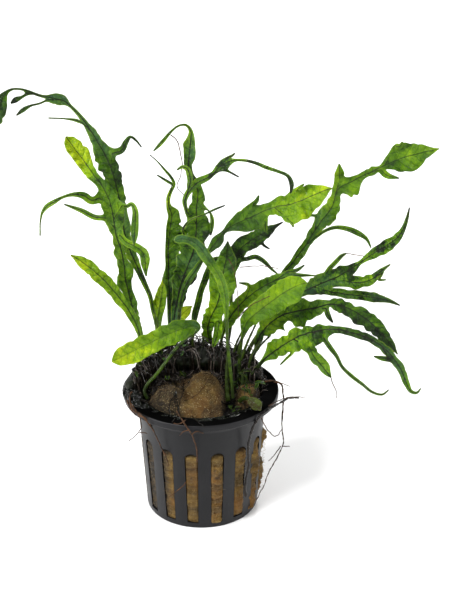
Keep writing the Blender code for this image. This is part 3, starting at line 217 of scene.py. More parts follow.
# Thin roots and threads, each by its route's right, up and back, in millimetres like the radius.
THREAD_RADIUS = 0.20
THREADS = (
    ((-5.8, -11.8, -29.3), (-8.4, -13.4, -29.4), (-10.0, -13.0, -29.0)),
    ((-4.6, -15.4, -29.0), (-6.6, -16.2, -28.8), (-7.8, -17.4, -28.2)),
    ((-3.8, -17.2, -28.6), (-1.6, -16.0, -28.6), (0.8, -16.6, -28.2)),
    ((-5.4, -34.2, -23.0), (-7.6, -36.6, -23.4), (-11.6, -39.6, -23.0)),
    ((-25.4, -6.0, -15.4), (-23.0, -9.6, -20.0), (-21.6, -13.6, -19.6), (-22.9, -16.6, -18.4),
     (-26.2, -19.4, -17.4)),
    ((-22.4, -16.4, -19.0), (-20.6, -16.4, -19.6), (-19.6, -16.8, -19.8)),
    ((-13.4, -23.8, -20.6), (-12.4, -26.2, -21.0), (-12.0, -28.6, -21.0)),
    ((28.8, -21.2, -2.0), (26.6, -24.2, -4.0), (24.4, -26.6, -5.0)),
    ((29.5, -21.2, -2.0), (31.0, -21.4, -2.0), (32.0, -21.4, -2.0)),
    ((21.3, -10.2, -18.0), (24.1, -15.6, -14.0), (27.4, -17.6, -8.0), (29.4, -14.6, -1.5)),
    ((26.0, 1.8, 0.0), (29.0, 1.5, -1.0), (32.0, 0.4, -2.0)),
    ((24.2, -6.8, -14.0), (30.3, -4.0, -8.0), (34.8, -3.4, -4.0), (37.6, -3.6, -2.0)),
    ((-11.0, 91.2, 1.0), (-9.2, 89.8, 1.6), (-7.8, 85.8, 2.0), (-7.0, 79.4, 2.2), (-7.8, 75.7, 2.4),
     (-8.8, 73.2, 2.6), (-6.2, 69.2, 2.8)),
    ((14.0, 43.5, -3.0), (22.0, 43.9, -3.6), (27.8, 43.0, -4.0)),
    ((13.3, 25.1, -4.0), (17.6, 29.4, -5.0), (24.8, 33.0, -6.0)),
    ((46.8, 3.8, -8.8), (47.8, 0.8, -8.8), (48.8, -1.6, -8.8), (48.9, -3.9, -8.8)),
    ((52.6, 48.4, 5.0), (56.4, 47.9, 4.2), (60.2, 47.2, 3.0)),
)

# Roots that lie on what the eye sees: radius, then the route's right and up.
WOOL_ROOTS = (
    (0.22, ((-10.2, 4.0), (-9.4, 1.0), (-9.2, -2.5), (-8.6, -6.3), (-7.9, -10.1), (-6.8, -12.4))),
    (0.19, ((-4.5, 6.3), (-6.7, 4.4), (-8.6, 2.1), (-9.4, 0.8), (-9.8, -3.0), (-9.0, -7.0))),
    (0.19, ((-12.3, 6.3), (-11.7, 3.2), (-10.2, 1.3), (-9.3, -0.6), (-8.8, -4.4), (-8.4, -9.0))),
    (0.17, ((-15.1, 4.8), (-12.8, 4.4), (-9.4, 3.9), (-6.4, 4.8))),
    (0.17, ((-3.1, 6.3), (-3.9, 4.4), (-4.1, 2.1), (-5.6, 0.4), (-7.0, -2.6))),
    (0.17, ((-9.2, -2.5), (-11.3, -5.5), (-11.5, -9.0), (-11.1, -10.5))),
    (0.17, ((-6.4, 1.7), (-6.7, -1.3), (-7.5, -4.7), (-8.3, -7.0), (-8.0, -9.8))),
    (0.17, ((-16.6, 3.0), (-15.2, 0.6), (-14.8, -2.0), (-15.6, -4.6))),
    (0.15, ((-10.6, -12.7), (-8.6, -10.8), (-6.8, -12.0))),
    (0.15, ((-3.3, -10.5), (-1.0, -12.7), (1.2, -14.2))),
    (0.20, ((7.2, -5.1), (9.1, -6.3), (11.4, -5.1), (13.7, -4.7), (15.6, -6.3), (16.0, -8.9))),
    (0.17, ((17.1, -0.9), (17.5, 0.2), (20.2, -0.6), (20.6, -2.5))),
    (0.20, ((8.0, -8.0), (10.4, -7.2), (12.8, -8.4), (14.6, -7.4))),
    (0.17, ((9.6, -10.2), (10.6, -8.4), (9.8, -6.6))),
)
RIM_ROOTS = (
    (0.12, ((3.5, 4.4), (1.2, 0.6), (-1.0, -2.1), (-2.9, -3.6), (-6.4, -4.8))),
    (0.12, ((-6.8, -12.4), (-5.6, -14.0), (-4.6, -15.4))),
    (0.20, ((-26.9, -4.6), (-26.2, -6.6), (-24.6, -9.1), (-23.1, -10.8))),
    (0.16, ((-25.4, -7.8), (-23.1, -9.0), (-20.5, -10.8), (-18.6, -13.1), (-17.4, -16.0))),
    (0.14, ((-24.2, 1.8), (-21.8, 3.6), (-18.6, 3.9), (-15.4, 4.4))),
)

# Colours are linear red, green and blue. A list of them says at which value each is reached.
LEAF_GREENS = (
    (0.0, (0.003, 0.008, 0.001)), (0.22, (0.011, 0.034, 0.001)), (0.42, (0.036, 0.098, 0.001)),
    (0.62, (0.086, 0.185, 0.002)), (0.82, (0.165, 0.290, 0.003)), (1.0, (0.350, 0.460, 0.008)))
STEM_GREENS = ((0.2, (0.006, 0.012, 0.002)), (0.6, (0.050, 0.100, 0.004)), (0.9, (0.130, 0.215, 0.006)))
PAINTED_SHEEN_COLOUR = (0.040, 0.105, 0.048)
PALE_MARGIN_AND_HIGHLIGHT_COLOUR = (0.220, 0.340, 0.005)
MIDRIB_COLOUR = (0.005, 0.007, 0.001)
STEM_SPECKLE_COLOUR = (0.008, 0.014, 0.003)
STEM_FOOT_COLOUR = (0.006, 0.010, 0.003)
OLIVE_COLOUR = (0.075, 0.058, 0.024)
DUST_COLOUR = (0.060, 0.050, 0.036)
WOOL_COLOURS = (
    (0.32, (0.060, 0.032, 0.008)), (0.43, (0.165, 0.092, 0.018)),
    (0.53, (0.290, 0.175, 0.040)), (0.66, (0.470, 0.310, 0.085)))
AMBER_COLOUR = (0.300, 0.125, 0.022)
WOOL_GAP_SHADE_COLOUR = (0.040, 0.023, 0.008)
SOAKED_DARK = (0.016, 0.011, 0.006)
SOAKED_LIGHT = (0.080, 0.056, 0.028)
WOOL_SHADE_COLOUR = (0.006, 0.005, 0.004)
PAINTED_GLINT_COLOUR = (0.800, 0.640, 0.340)
PAINTED_GLINT_HEIGHTS = (36.0 * MM, 44.0 * MM)
# Each bark's dark colour, light colour, fineness, roughness and gleam.
BARKS = {
    "rhizome_bark": ((0.001, 0.002, 0.001), (0.008, 0.011, 0.003), 700.0, 0.5, 0.2),
    "mat_bark": ((0.001, 0.001, 0.001), (0.016, 0.011, 0.007), 420.0, 0.26, 0.26),
    # The pale bark is partly a painted highlight on lit roots.
    "pale_highlit_bark": ((0.010, 0.008, 0.006), (0.130, 0.105, 0.085), 700.0, 0.30, 0.40),
    "root_bark": ((0.005, 0.004, 0.003), (0.100, 0.042, 0.014), 520.0, 0.5, 0.15),
    "rim_growth": ((0.001, 0.001, 0.001), (0.004, 0.005, 0.003), 480.0, 0.10, 0.22),
    "wool_fibre": ((0.120, 0.070, 0.024), (0.420, 0.290, 0.120), 500.0, 0.6, 0.5),
    "stalk_skin": ((0.006, 0.010, 0.002), (0.050, 0.085, 0.005), 900.0, 0.4, 0.2),
    "moss_skin": ((0.002, 0.005, 0.001), (0.036, 0.062, 0.005), 1100.0, 0.4, 0.2),
}
# What a blade's mesh carries for its material.
LEAF_FIELDS = ("tone", "rib", "travel", "across", "margin", "stalk", "rib_dark", "mottle", "end")
# Where the small lights aim.
PLANT_MIDDLE = (0.0, 0.0, 0.09)


def strip(*rows, lobes=()):
    """A blade's rows, with the right width and the turn filled in where a row leaves them out."""
    return {"rows": [(*row[:4], *(row[4:] or row[3:]), 0)[:6] for row in rows], "lobes": lobes}


def lobe(side, at, *rows, lobes=()):
    """A side lobe, which grows beside its parent's row of the given number."""
    return dict(strip(*rows, lobes=lobes), side=side, at=at)


# A frond's rows run from its foot to its tip: right, up, back, the blade's width to the left of
# the midrib, its width to the right where that differs, and its turn about the midrib in degrees
# where it has one. A lobe grows from its parent's left or right margin, as seen along its growth.
FRONDS = {
    "frond_tall_left": strip(
        (-16.5, 12.6, 11.3, 0.8), (-16.2, 21.8, 11.5, 0.8, 0.9), (-17.5, 28.0, 11.5, 1.0, 1.0, 20),
        (-18.6, 33.1, 11.5, 1.1, 1.2, 40), (-20.4, 37.4, 11.0, 1.2, 1.1, 20), (-22.5, 42.1, 10.8, 1.3, 1.2),
        (-25.0, 48.0, 10.8, 1.8, 1.8, 20), (-27.2, 53.5, 10.5, 2.2, 2.2, 10), (-28.2, 59.0, 10.5, 3.2, 2.2),
        (-28.9, 65.2, 10.0, 4.2, 1.9), (-30.0, 70.8, 9.8, 4.4, 2.0), (-31.8, 77.0, 9.0, 3.8, 2.6),
        (-33.2, 80.8, 8.8, 4.5, 2.8), (-34.4, 83.6, 8.8, 3.8, 2.6), (-36.8, 87.6, 8.5, 2.5, 2.2),
        (-39.4, 92.0, 8.0, 1.5, 2.0), (-41.0, 94.4, 8.0, 1.3, 1.1), (-42.4, 96.4, 8.0, 1.2, 0.9),
        (-45.2, 99.6, 7.5, 0.9), (-47.9, 102.2, 7.0, 0.9), (-50.2, 104.0, 6.5, 1.9, 1.7, 20),
        (-53.8, 104.6, 6.0, 2.0, 1.6, 20), (-55.4, 105.0, 5.5, 1.1, 0.9), (-57.0, 105.2, 5.0, 0.8, 0.7),
        (-60.0, 106.1, 4.0, 0.7, 0.6), (-62.3, 107.0, 3.0, 0.6), (-65.2, 107.8, 2.0, 0.5),
        (-69.0, 107.6, 0.0, 0.6), (-71.4, 105.6, -2.0, 1.3, 1.2), (-72.6, 101.8, -3.0, 2.3, 2.2),
        (-73.6, 97.6, -4.0, 2.1, 2.0), (-74.6, 93.2, -4.5, 0.3),
        lobes=[
            lobe("right", 13, (-30.8, 82.8, 9.0, 1.5, 1.2), (-28.9, 85.7, 8.7, 1.3, 1.1),
                 (-27.0, 89.0, 8.4, 0.9, 0.8), (-25.6, 90.6, 8.0, 0.6, 0.5), (-23.6, 89.3, 8.0, 0.4),
                 (-21.6, 86.8, 8.0, 0.25)),
            lobe("left", 17, (-44.8, 96.4, 8.0, 0.6), (-49.0, 97.1, 7.5, 0.3),
                 (-55.4, 97.4, 7.0, 0.25)),
            lobe("left", 22, (-58.6, 102.6, 4.5, 0.35), (-61.6, 101.9, 4.0, 0.4),
                 (-64.4, 100.4, 3.5, 0.8, 0.7), (-66.9, 98.3, 3.0, 0.25)),
            lobe("left", 25, (-65.0, 104.9, 2.0, 0.5), (-67.4, 103.9, 1.4, 1.0, 0.9),
                 (-68.9, 102.6, 1.0, 0.25))]),
    "frond_left_pale": strip(
        (-20.0, 10.4, 8.0, 0.8), (-20.8, 15.5, 7.5, 0.8), (-23.0, 21.5, 6.5, 1.2, 1.6),
        (-24.6, 26.9, 6.0, 1.4, 2.2), (-25.4, 30.5, 6.0, 1.7, 2.7, -10), (-26.2, 34.4, 6.0, 2.2, 1.6, 20),
        (-27.2, 38.8, 5.5, 3.2, 2.0, 10), (-27.8, 42.4, 5.0, 2.2, 2.6), (-28.2, 46.0, 5.0, 2.2, 1.5, 10),
        (-28.9, 49.9, 4.5, 3.0, 1.0), (-30.1, 53.0, 4.0, 1.8, 0.9), (-30.9, 55.0, 3.2, 1.2, 1.4),
        (-31.2, 57.2, 2.6, 2.2, 2.4), (-31.6, 59.6, 2.2, 2.8, 3.6), (-32.0, 62.0, 2.0, 3.2, 4.4),
        (-32.6, 65.0, 2.0, 3.2, 4.4), (-33.2, 67.4, 2.4, 3.0, 3.8), (-34.2, 69.6, 3.2, 2.6, 3.2),
        (-35.4, 72.0, 4.2, 1.8, 2.4), (-38.2, 76.0, 7.4, 2.0, 1.4), (-40.6, 79.4, 12.4, 2.9, 2.2),
        (-43.2, 82.8, 14.0, 3.4, 3.1), (-45.8, 86.2, 14.5, 3.3, 3.2), (-47.7, 88.9, 14.5, 2.3),
        (-48.9, 90.6, 14.3, 0.5),
        lobes=[
            lobe("left", 17, (-39.4, 67.6, 1.0, 1.5, 1.3), (-42.6, 69.4, 0.0, 1.3, 1.2),
                 (-46.6, 69.7, -2.0, 0.7), (-50.0, 68.8, -3.5, 0.5), (-53.5, 66.9, -5.0, 0.8),
                 (-56.0, 65.3, -5.5, 0.8), (-57.4, 63.4, -6.0, 0.5), (-58.1, 60.6, -6.0, 0.3),
                 (-58.3, 54.8, -6.0, 0.25)),
            lobe("left", 14, (-37.8, 61.4, 1.0, 1.0, 0.9), (-43.2, 63.8, 0.0, 0.8, 0.9),
                 (-49.6, 66.2, -2.0, 0.25)),
            lobe("right", 15, (-26.8, 65.4, 0.0, 0.7, 0.6), (-25.2, 66.2, -1.0, 0.9, 0.7, 20),
                 (-24.0, 64.2, -2.5, 1.0, 1.0, 10), (-23.9, 59.8, -3.0, 1.2), (-24.1, 54.6, -3.0, 1.1, 1.3),
                 (-24.3, 51.4, -3.0, 0.3)),
            lobe("right", 11, (-27.6, 52.9, 2.0, 1.1, 1.3), (-24.0, 51.0, 1.0, 1.3, 1.8),
                 (-21.2, 48.8, 0.0, 1.8, 1.7, 20), (-20.3, 45.4, -0.5, 1.7), (-20.2, 42.6, -0.5, 0.9),
                 (-19.9, 40.2, -0.5, 0.3))]),
    "frond_left_low": strip(
        (-22.8, 7.9, 3.5, 0.8), (-22.8, 13.0, 1.5, 0.8), (-22.4, 18.6, 0.0, 0.9), (-23.4, 22.4, -0.5, 1.3),
        (-25.0, 25.6, -1.0, 1.5), (-27.0, 29.0, -1.5, 1.6, 1.5), (-29.6, 32.4, -2.5, 2.2, 1.6),
        (-32.7, 36.0, -3.5, 2.3, 2.1), (-36.8, 40.3, -4.5, 2.4, 2.3), (-41.6, 44.2, -6.0, 2.2, 2.0),
        (-45.2, 46.7, -7.0, 1.2), (-47.2, 47.8, -7.4, 0.3)),
    "frond_front_left": strip(
        (-19.4, -4.2, -9.0, 0.8), (-20.6, -1.2, -9.0, 0.8), (-19.4, 1.2, -8.5, 0.8),
        (-16.6, 4.2, -8.0, 0.8), (-13.5, 8.2, -7.5, 0.8), (-9.8, 13.2, -7.0, 0.8), (-5.0, 18.0, -7.0, 0.8),
        (-2.0, 20.0, -8.0, 0.8), (-1.0, 21.4, -10.0, 1.2, 1.0), (-2.8, 22.2, -12.5, 2.4, 2.0),
        (-6.2, 21.4, -15.0, 3.4, 3.0), (-10.8, 19.8, -17.5, 4.0, 3.6), (-14.8, 18.0, -19.5, 3.6, 3.4),
        (-18.6, 16.1, -21.5, 3.8, 3.4), (-22.5, 14.3, -24.0, 4.0, 3.4), (-25.8, 12.7, -26.0, 3.8, 3.3),
        (-29.0, 10.9, -28.0, 3.0, 2.7), (-31.3, 9.8, -29.5, 1.6, 1.5), (-32.3, 9.3, -30.0, 0.4)),
    "frond_inner_bright": strip(
        (-13.6, 14.2, 13.6, 0.8), (-15.0, 19.0, 16.0, 0.8), (-15.8, 24.0, 18.0, 1.6),
        (-15.2, 28.5, 18.5, 2.3, 2.0), (-14.4, 33.0, 18.5, 2.2, 2.0), (-13.9, 37.0, 18.5, 1.2),
        (-13.7, 40.0, 18.5, 0.3)),
    "frond_centre_dark": strip(
        (-11.5, 14.6, 15.5, 0.8), (-11.5, 23.7, 15.3, 0.8, 1.2), (-11.6, 30.0, 15.0, 0.8, 2.0),
        (-11.8, 35.4, 14.6, 0.9, 2.8), (-12.0, 39.4, 14.3, 1.8, 3.4), (-12.2, 43.6, 14.0, 0.8, 4.2),
        (-12.3, 48.0, 13.5, 0.8, 4.8), (-12.1, 53.4, 13.0, 0.8, 5.0), (-11.4, 58.7, 12.5, 1.2, 4.8),
        (-10.8, 62.2, 12.0, 1.2, 3.0), (-11.8, 65.4, 11.5, 1.0, 1.2), (-11.9, 68.4, 11.0, 1.0),
        (-10.9, 71.2, 11.0, 0.9), (-9.8, 73.4, 11.0, 0.8), (-10.8, 75.8, 10.5, 0.7),
        (-13.0, 78.4, 10.0, 0.6), (-16.0, 81.8, 9.5, 0.3), (-18.6, 84.1, 9.0, 0.25),
        lobes=[
            lobe("left", 13, (-12.4, 74.6, 10.5, 0.5), (-16.0, 76.8, 9.5, 0.25))]),
    "frond_centre_tall": strip(
        (-9.2, 15.0, 14.5, 0.8), (-10.0, 22.5, 12.5, 1.0), (-9.0, 30.4, 11.0, 1.8, 2.8),
        (-7.4, 37.0, 9.5, 3.4), (-4.8, 44.0, 8.0, 4.8, 3.8), (-2.6, 49.4, 7.0, 5.0, 3.6),
        (-2.0, 52.4, 6.7, 4.8, 3.6), (-1.8, 55.2, 6.5, 4.6, 3.8), (-1.8, 57.8, 6.2, 4.2, 4.0),
        (-1.8, 60.6, 5.9, 3.6), (-1.8, 63.0, 5.6, 3.0, 2.8), (-1.7, 65.2, 5.2, 2.4, 2.8),
        (-1.5, 67.4, 5.0, 2.0, 2.6), (-1.2, 70.6, 4.5, 1.8), (-2.3, 73.8, 4.0, 1.4, 1.5),
        (-3.9, 77.0, 3.5, 1.1, 1.2), (-4.8, 80.2, 3.0, 1.3, 1.4), (-4.4, 83.6, 3.0, 1.8),
        (-4.0, 86.8, 3.0, 2.2, 1.6), (-3.7, 90.2, 2.5, 1.4, 1.3), (-3.9, 93.0, 2.5, 0.9),
        (-5.6, 94.9, 2.0, 0.6), (-8.2, 94.6, 1.5, 0.5), (-11.0, 92.4, 1.0, 0.6),
        (-13.6, 89.4, 0.5, 0.9, 0.8), (-15.8, 87.0, 0.0, 0.8, 0.7), (-17.3, 85.4, 0.0, 0.25),
        lobes=[
            lobe("left", 10, (-5.6, 64.8, 3.0, 0.7), (-6.0, 67.2, 1.5, 0.9, 0.8),
                 (-5.2, 69.6, 0.0, 1.0, 0.9), (-3.4, 72.0, -1.5, 1.2, 1.0), (-1.1, 74.2, -3.0, 1.4, 1.2),
                 (2.3, 75.8, -3.5, 1.2, 1.0), (4.6, 77.6, -4.0, 0.8), (6.2, 79.4, -4.5, 1.2, 1.4),
                 (8.0, 80.6, -5.0, 1.7, 1.9), (9.8, 81.6, -5.5, 1.4, 1.5), (12.0, 82.1, -6.0, 0.6),
                 (15.4, 82.1, -6.5, 0.5, 0.5, 20), (20.0, 81.0, -7.0, 0.6, 0.6, 30),
                 (23.4, 79.6, -7.5, 0.6, 0.7, 10), (27.9, 78.1, -8.5, 0.5, 0.6), (31.4, 76.4, -9.0, 0.6),
                 (32.7, 73.4, -9.3, 0.8), (32.3, 70.2, -9.5, 0.3),
                 lobes=[
                     lobe("left", 3, (-4.0, 74.4, -3.5, 1.0, 0.8), (-4.2, 76.8, -4.5, 1.1, 0.9),
                          (-5.0, 79.0, -5.0, 0.9, 0.8), (-6.8, 79.8, -5.5, 0.6), (-8.8, 78.6, -6.0, 0.3)),
                     lobe("left", 9, (10.9, 83.6, -5.6, 0.5), (12.2, 84.7, -5.8, 0.25)),
                     lobe("right", 8, (10.4, 77.8, -5.6, 0.4), (13.7, 76.0, -6.0, 0.25))]),
            lobe("left", 7, (-6.6, 57.4, 2.5, 0.4), (-3.6, 60.8, 0.5, 0.4), (0.8, 62.4, -0.5, 0.3),
                 (5.0, 64.4, -1.0, 0.4), (8.6, 65.8, -1.5, 0.25)),
            lobe("right", 11, (2.8, 63.8, 4.0, 0.3), (3.9, 61.0, 3.0, 0.7), (3.8, 57.8, 2.5, 0.7),
                 (3.4, 54.9, 2.0, 0.25))]),
    "frond_small_yellow": strip(
        (-6.8, 16.6, 18.8, 0.7), (-8.4, 20.0, 18.8, 0.8), (-8.2, 24.0, 18.8, 1.6),
        (-6.8, 26.6, 18.4, 2.0, 2.2), (-5.0, 28.2, 18.2, 1.5, 1.7), (-3.4, 29.4, 18.2, 0.3)),
    "frond_upper_right": strip(
        (-6.4, 15.2, 14.3, 0.8), (-8.0, 22.0, 9.0, 0.8), (-7.8, 29.0, 6.5, 0.9, 1.0),
        (-6.6, 34.6, 5.0, 1.0, 1.2), (-4.4, 39.2, 4.0, 1.2, 1.4), (-1.9, 42.6, 3.0, 1.3, 1.2, 20),
        (0.2, 46.0, 2.5, 1.1, 1.1, 30), (2.8, 49.4, 2.0, 1.0, 1.2), (5.4, 52.6, 1.5, 1.6, 2.0),
        (8.4, 56.4, 1.0, 1.0, 1.0, 20), (11.8, 58.8, 0.5, 2.0, 2.4), (15.4, 60.5, 0.0, 3.2, 3.8),
        (18.2, 61.8, -0.5, 3.6, 4.4), (20.0, 62.6, -0.8, 3.4, 4.4), (21.8, 63.5, -1.0, 2.6, 3.8),
        (24.6, 64.5, -1.5, 2.2, 2.6), (28.0, 65.6, -2.0, 2.9, 4.4), (31.6, 66.3, -2.5, 3.6, 6.4),
        (35.4, 67.5, -3.0, 4.2, 5.6), (39.3, 69.0, -3.5, 4.0, 4.6), (43.0, 70.6, -4.0, 2.6, 2.8),
        (45.8, 71.6, -4.2, 1.2), (47.3, 72.0, -4.3, 0.3),
        lobes=[
            lobe("left", 13, (20.0, 67.4, -0.5, 0.8), (20.8, 69.4, -0.5, 0.3)),
            lobe("right", 14, (23.2, 58.2, -0.5, 0.8), (23.5, 55.8, -0.5, 0.3)),
            lobe("left", 18, (35.6, 72.2, -2.8, 0.7), (37.2, 73.6, -2.8, 0.25)),
            lobe("right", 17, (32.8, 59.8, -2.4, 0.8), (33.3, 57.9, -2.4, 0.3))]),
    "frond_narrow_glossy": strip(
        (-3.9, 15.6, 16.3, 0.8), (-2.8, 20.6, 15.5, 0.8), (-2.4, 25.5, 14.5, 1.3, 1.2),
        (-1.3, 30.5, 13.5, 1.2, 1.5, 30), (-0.1, 34.9, 13.0, 1.3, 1.2), (1.2, 38.8, 12.5, 1.1, 1.4),
        (2.6, 42.6, 12.0, 1.2, 1.2, 20), (4.4, 45.8, 11.5, 1.2), (6.6, 46.6, 11.0, 1.0),
        (8.4, 45.8, 11.0, 0.3)),
    "frond_front_centre": strip(
        (11.5, -4.0, -8.5, 0.8), (11.0, 2.0, -8.5, 0.8), (10.3, 8.0, -9.0, 0.8), (9.7, 14.0, -9.0, 0.8),
        (9.3, 20.0, -9.0, 0.8), (9.0, 26.5, -9.5, 1.0), (8.9, 31.0, -9.5, 1.4, 1.2),
        (8.2, 35.5, -9.5, 1.8, 1.4), (7.0, 39.2, -9.8, 1.6, 1.4), (5.4, 42.0, -10.2, 1.6, 1.4),
        (3.7, 44.4, -10.6, 1.7, 1.6), (2.1, 46.8, -11.0, 1.8), (0.2, 49.7, -11.5, 1.8),
        (-2.3, 52.2, -12.0, 1.6, 1.7), (-5.2, 53.4, -12.5, 1.3, 1.4), (-7.4, 53.6, -13.0, 1.4, 1.5),
        (-9.0, 53.2, -13.3, 1.2, 1.3), (-9.8, 52.8, -13.4, 0.5)),
    "frond_centre_pale": strip(
        (3.5, 15.6, 16.2, 0.8), (2.6, 18.8, 14.0, 1.8, 1.4), (2.4, 22.0, 11.0, 2.4),
        (3.4, 25.4, 8.0, 3.0, 2.8), (5.0, 28.6, 6.0, 3.4), (6.4, 32.2, 4.5, 3.6, 4.0),
        (7.3, 36.7, 3.5, 4.0, 4.6), (8.0, 41.5, 3.0, 3.6, 4.6), (8.9, 46.2, 2.5, 2.8, 3.6),
        (9.4, 50.0, 2.0, 1.8), (9.6, 52.8, 2.0, 0.3),
        lobes=[
            lobe("right", 3, (5.6, 22.0, 7.0, 1.5), (5.6, 18.4, 7.5, 1.6, 1.5), (4.2, 14.6, 8.0, 0.4))]),
    "frond_mid_right": strip(
        (6.8, 14.8, 15.0, 0.8), (7.8, 19.0, 12.6, 0.8), (9.6, 24.0, 10.5, 1.8, 2.0),
        (12.7, 28.4, 9.5, 2.5, 2.6), (16.5, 32.2, 8.5, 2.4, 2.5), (19.0, 34.3, 8.2, 2.4, 2.5),
        (21.2, 35.8, 8.0, 2.3, 2.5), (25.4, 38.1, 7.5, 2.3, 2.4), (28.6, 39.3, 7.0, 2.0, 2.1),
        (31.2, 40.0, 6.7, 1.6), (35.3, 40.5, 6.2, 1.0, 1.1), (38.6, 40.5, 5.8, 0.6),
        (42.0, 40.3, 5.5, 0.25),
        lobes=[
            lobe("left", 5, (16.8, 37.2, 7.5, 0.7), (13.6, 37.8, 7.0, 0.25)),
            lobe("left", 9, (34.6, 42.4, 6.5, 0.7), (37.3, 44.2, 6.0, 0.25))]),
    "frond_dark_right": strip(
        (9.3, 14.2, 14.5, 0.8), (10.6, 22.0, 15.2, 0.8), (10.8, 32.0, 14.8, 0.9),
        (10.9, 39.0, 14.2, 1.2, 1.0), (11.5, 43.6, 13.5, 1.8), (12.4, 47.0, 13.0, 2.4, 2.2),
        (14.2, 50.0, 12.5, 2.8, 2.6), (17.0, 52.4, 12.0, 3.2, 2.8), (20.4, 54.4, 11.5, 2.8, 2.6, 20),
        (23.6, 56.4, 11.2, 1.9, 2.0), (26.7, 58.2, 10.8, 1.0), (29.6, 59.8, 10.5, 0.25),
        lobes=[
            lobe("right", 5, (16.4, 46.4, 11.5, 0.8), (19.6, 47.2, 10.5, 0.9), (22.6, 45.6, 9.5, 0.8),
                 (25.6, 42.6, 9.0, 0.5), (27.7, 40.9, 8.5, 0.25)),
            lobe("right", 8, (22.8, 51.2, 11.0, 0.5), (24.8, 50.0, 11.0, 0.25))]),
    "frond_tall_right": strip(
        (12.5, 13.1, 12.3, 0.8), (16.0, 20.0, 13.5, 0.8), (21.8, 28.5, 14.0, 0.8),
        (27.9, 37.6, 13.5, 1.1, 1.0), (30.5, 42.1, 13.2, 1.2, 1.1), (32.9, 45.0, 13.0, 1.0, 1.9),
        (35.0, 47.8, 12.8, 1.4, 1.9), (38.2, 52.0, 12.4, 1.5, 1.7), (40.2, 55.2, 12.2, 1.7),
        (41.9, 57.8, 12.0, 1.8), (43.6, 60.4, 11.6, 2.4, 3.0), (45.4, 62.6, 11.3, 2.6, 3.6),
        (47.0, 64.8, 10.9, 2.6, 3.4), (48.0, 67.4, 10.5, 2.1, 2.4), (48.6, 69.8, 10.2, 1.4, 1.6, 10),
        (49.6, 71.8, 9.9, 2.2), (51.4, 73.2, 9.5, 2.9, 3.8), (53.8, 74.4, 9.2, 2.0, 4.5),
        (56.6, 75.9, 8.8, 1.0, 2.6), (59.6, 77.0, 8.2, 1.6, 1.0), (62.0, 78.2, 7.8, 1.7, 1.6),
        (64.7, 79.6, 7.2, 0.8, 1.0), (67.2, 80.7, 6.4, 2.1, 2.2), (71.2, 82.4, 5.4, 4.4, 4.5),
        (75.6, 83.9, 4.4, 4.0, 4.6), (79.8, 84.9, 3.4, 3.0, 3.4), (83.6, 85.8, 2.6, 1.0, 1.5),
        (86.0, 86.3, 2.0, 0.3),
        lobes=[
            lobe("left", 16, (50.0, 77.4, 9.5, 1.6), (49.9, 80.8, 9.5, 0.3)),
            lobe("right", 21, (66.6, 77.0, 6.6, 1.2), (71.6, 75.6, 6.0, 0.25)),
            lobe("left", 23, (72.0, 87.2, 5.2, 0.9), (72.8, 88.8, 5.0, 0.3)),
            lobe("right", 8, (44.4, 56.4, 11.0, 0.6), (48.2, 57.8, 10.5, 0.7), (52.6, 57.4, 10.0, 0.9),
                 (56.6, 55.8, 9.5, 1.0), (60.0, 53.4, 9.0, 0.6), (61.4, 50.4, 8.0, 0.25)),
            lobe("left", 10, (39.8, 62.2, 11.5, 0.5), (36.8, 61.6, 11.5, 0.25))]),
    "frond_wide_right": strip(
        (13.3, 1.1, 4.0, 0.8), (13.7, 8.0, 3.5, 0.8), (14.3, 14.5, 2.0, 0.8), (15.2, 20.0, 0.0, 1.0),
        (16.6, 23.6, -1.5, 2.6, 2.4), (19.6, 26.5, -3.0, 3.7, 3.6), (22.6, 29.0, -4.2, 3.8, 4.4),
        (25.8, 31.4, -5.4, 4.2, 4.6), (28.8, 33.6, -6.4, 4.6), (31.8, 35.4, -7.2, 4.2, 4.5),
        (34.8, 36.9, -7.8, 3.2, 3.8), (37.0, 37.6, -8.1, 1.7, 2.2), (38.2, 37.8, -8.3, 0.3)),
    "frond_far_right": strip(
        (15.6, 11.2, 9.2, 0.8), (19.0, 17.0, 9.6, 0.8), (24.4, 24.4, 9.6, 0.8), (30.6, 31.0, 9.0, 0.9),
        (35.6, 34.0, 8.2, 1.4), (39.0, 35.6, 7.6, 2.2, 2.0), (42.6, 37.2, 7.0, 3.2),
        (44.8, 38.1, 6.6, 3.6, 3.8), (47.0, 39.0, 6.2, 3.6, 4.0), (49.2, 40.0, 5.8, 3.2, 4.0),
        (51.4, 41.2, 5.3, 2.6, 3.6), (54.0, 42.8, 4.6, 1.7, 2.4), (57.0, 44.8, 3.6, 1.0, 1.1),
        (60.0, 46.9, 2.8, 1.3), (63.4, 49.2, 2.0, 1.8, 1.9), (67.0, 51.4, 1.0, 2.0), (70.4, 53.7, 0.2, 1.5),
        (73.0, 57.2, -0.8, 1.1), (74.4, 61.0, -1.4, 0.8), (75.3, 65.0, -2.0, 0.3),
        lobes=[
            lobe("left", 8, (49.0, 43.6, 5.8, 1.2), (49.3, 46.0, 5.4, 0.8), (50.7, 47.5, 5.2, 0.7),
                 (52.5, 48.5, 5.0, 0.3)),
            lobe("right", 10, (55.0, 38.4, 3.8, 2.2, 1.8), (58.4, 38.0, 3.2, 2.2, 1.9),
                 (61.8, 39.2, 2.6, 1.6), (65.2, 42.2, 2.0, 0.9, 0.8), (68.4, 44.5, 1.5, 0.25),
                 lobes=[
                     lobe("right", 2, (64.2, 38.9, 2.3, 0.6), (66.9, 38.9, 2.0, 0.25))]),
            lobe("right", 7, (49.2, 34.2, 5.2, 1.6, 1.3), (53.4, 33.6, 4.5, 1.9, 1.6),
                 (58.4, 33.0, 3.5, 1.8, 1.7), (63.5, 32.3, 2.5, 1.5), (68.2, 31.2, 2.0, 0.8),
                 (71.9, 29.6, 1.5, 0.25))]),
    "frond_ruffled_right": strip(
        (18.2, 9.2, 5.4, 0.8), (19.4, 13.0, 4.8, 0.8), (21.2, 18.6, 3.5, 1.6, 2.2),
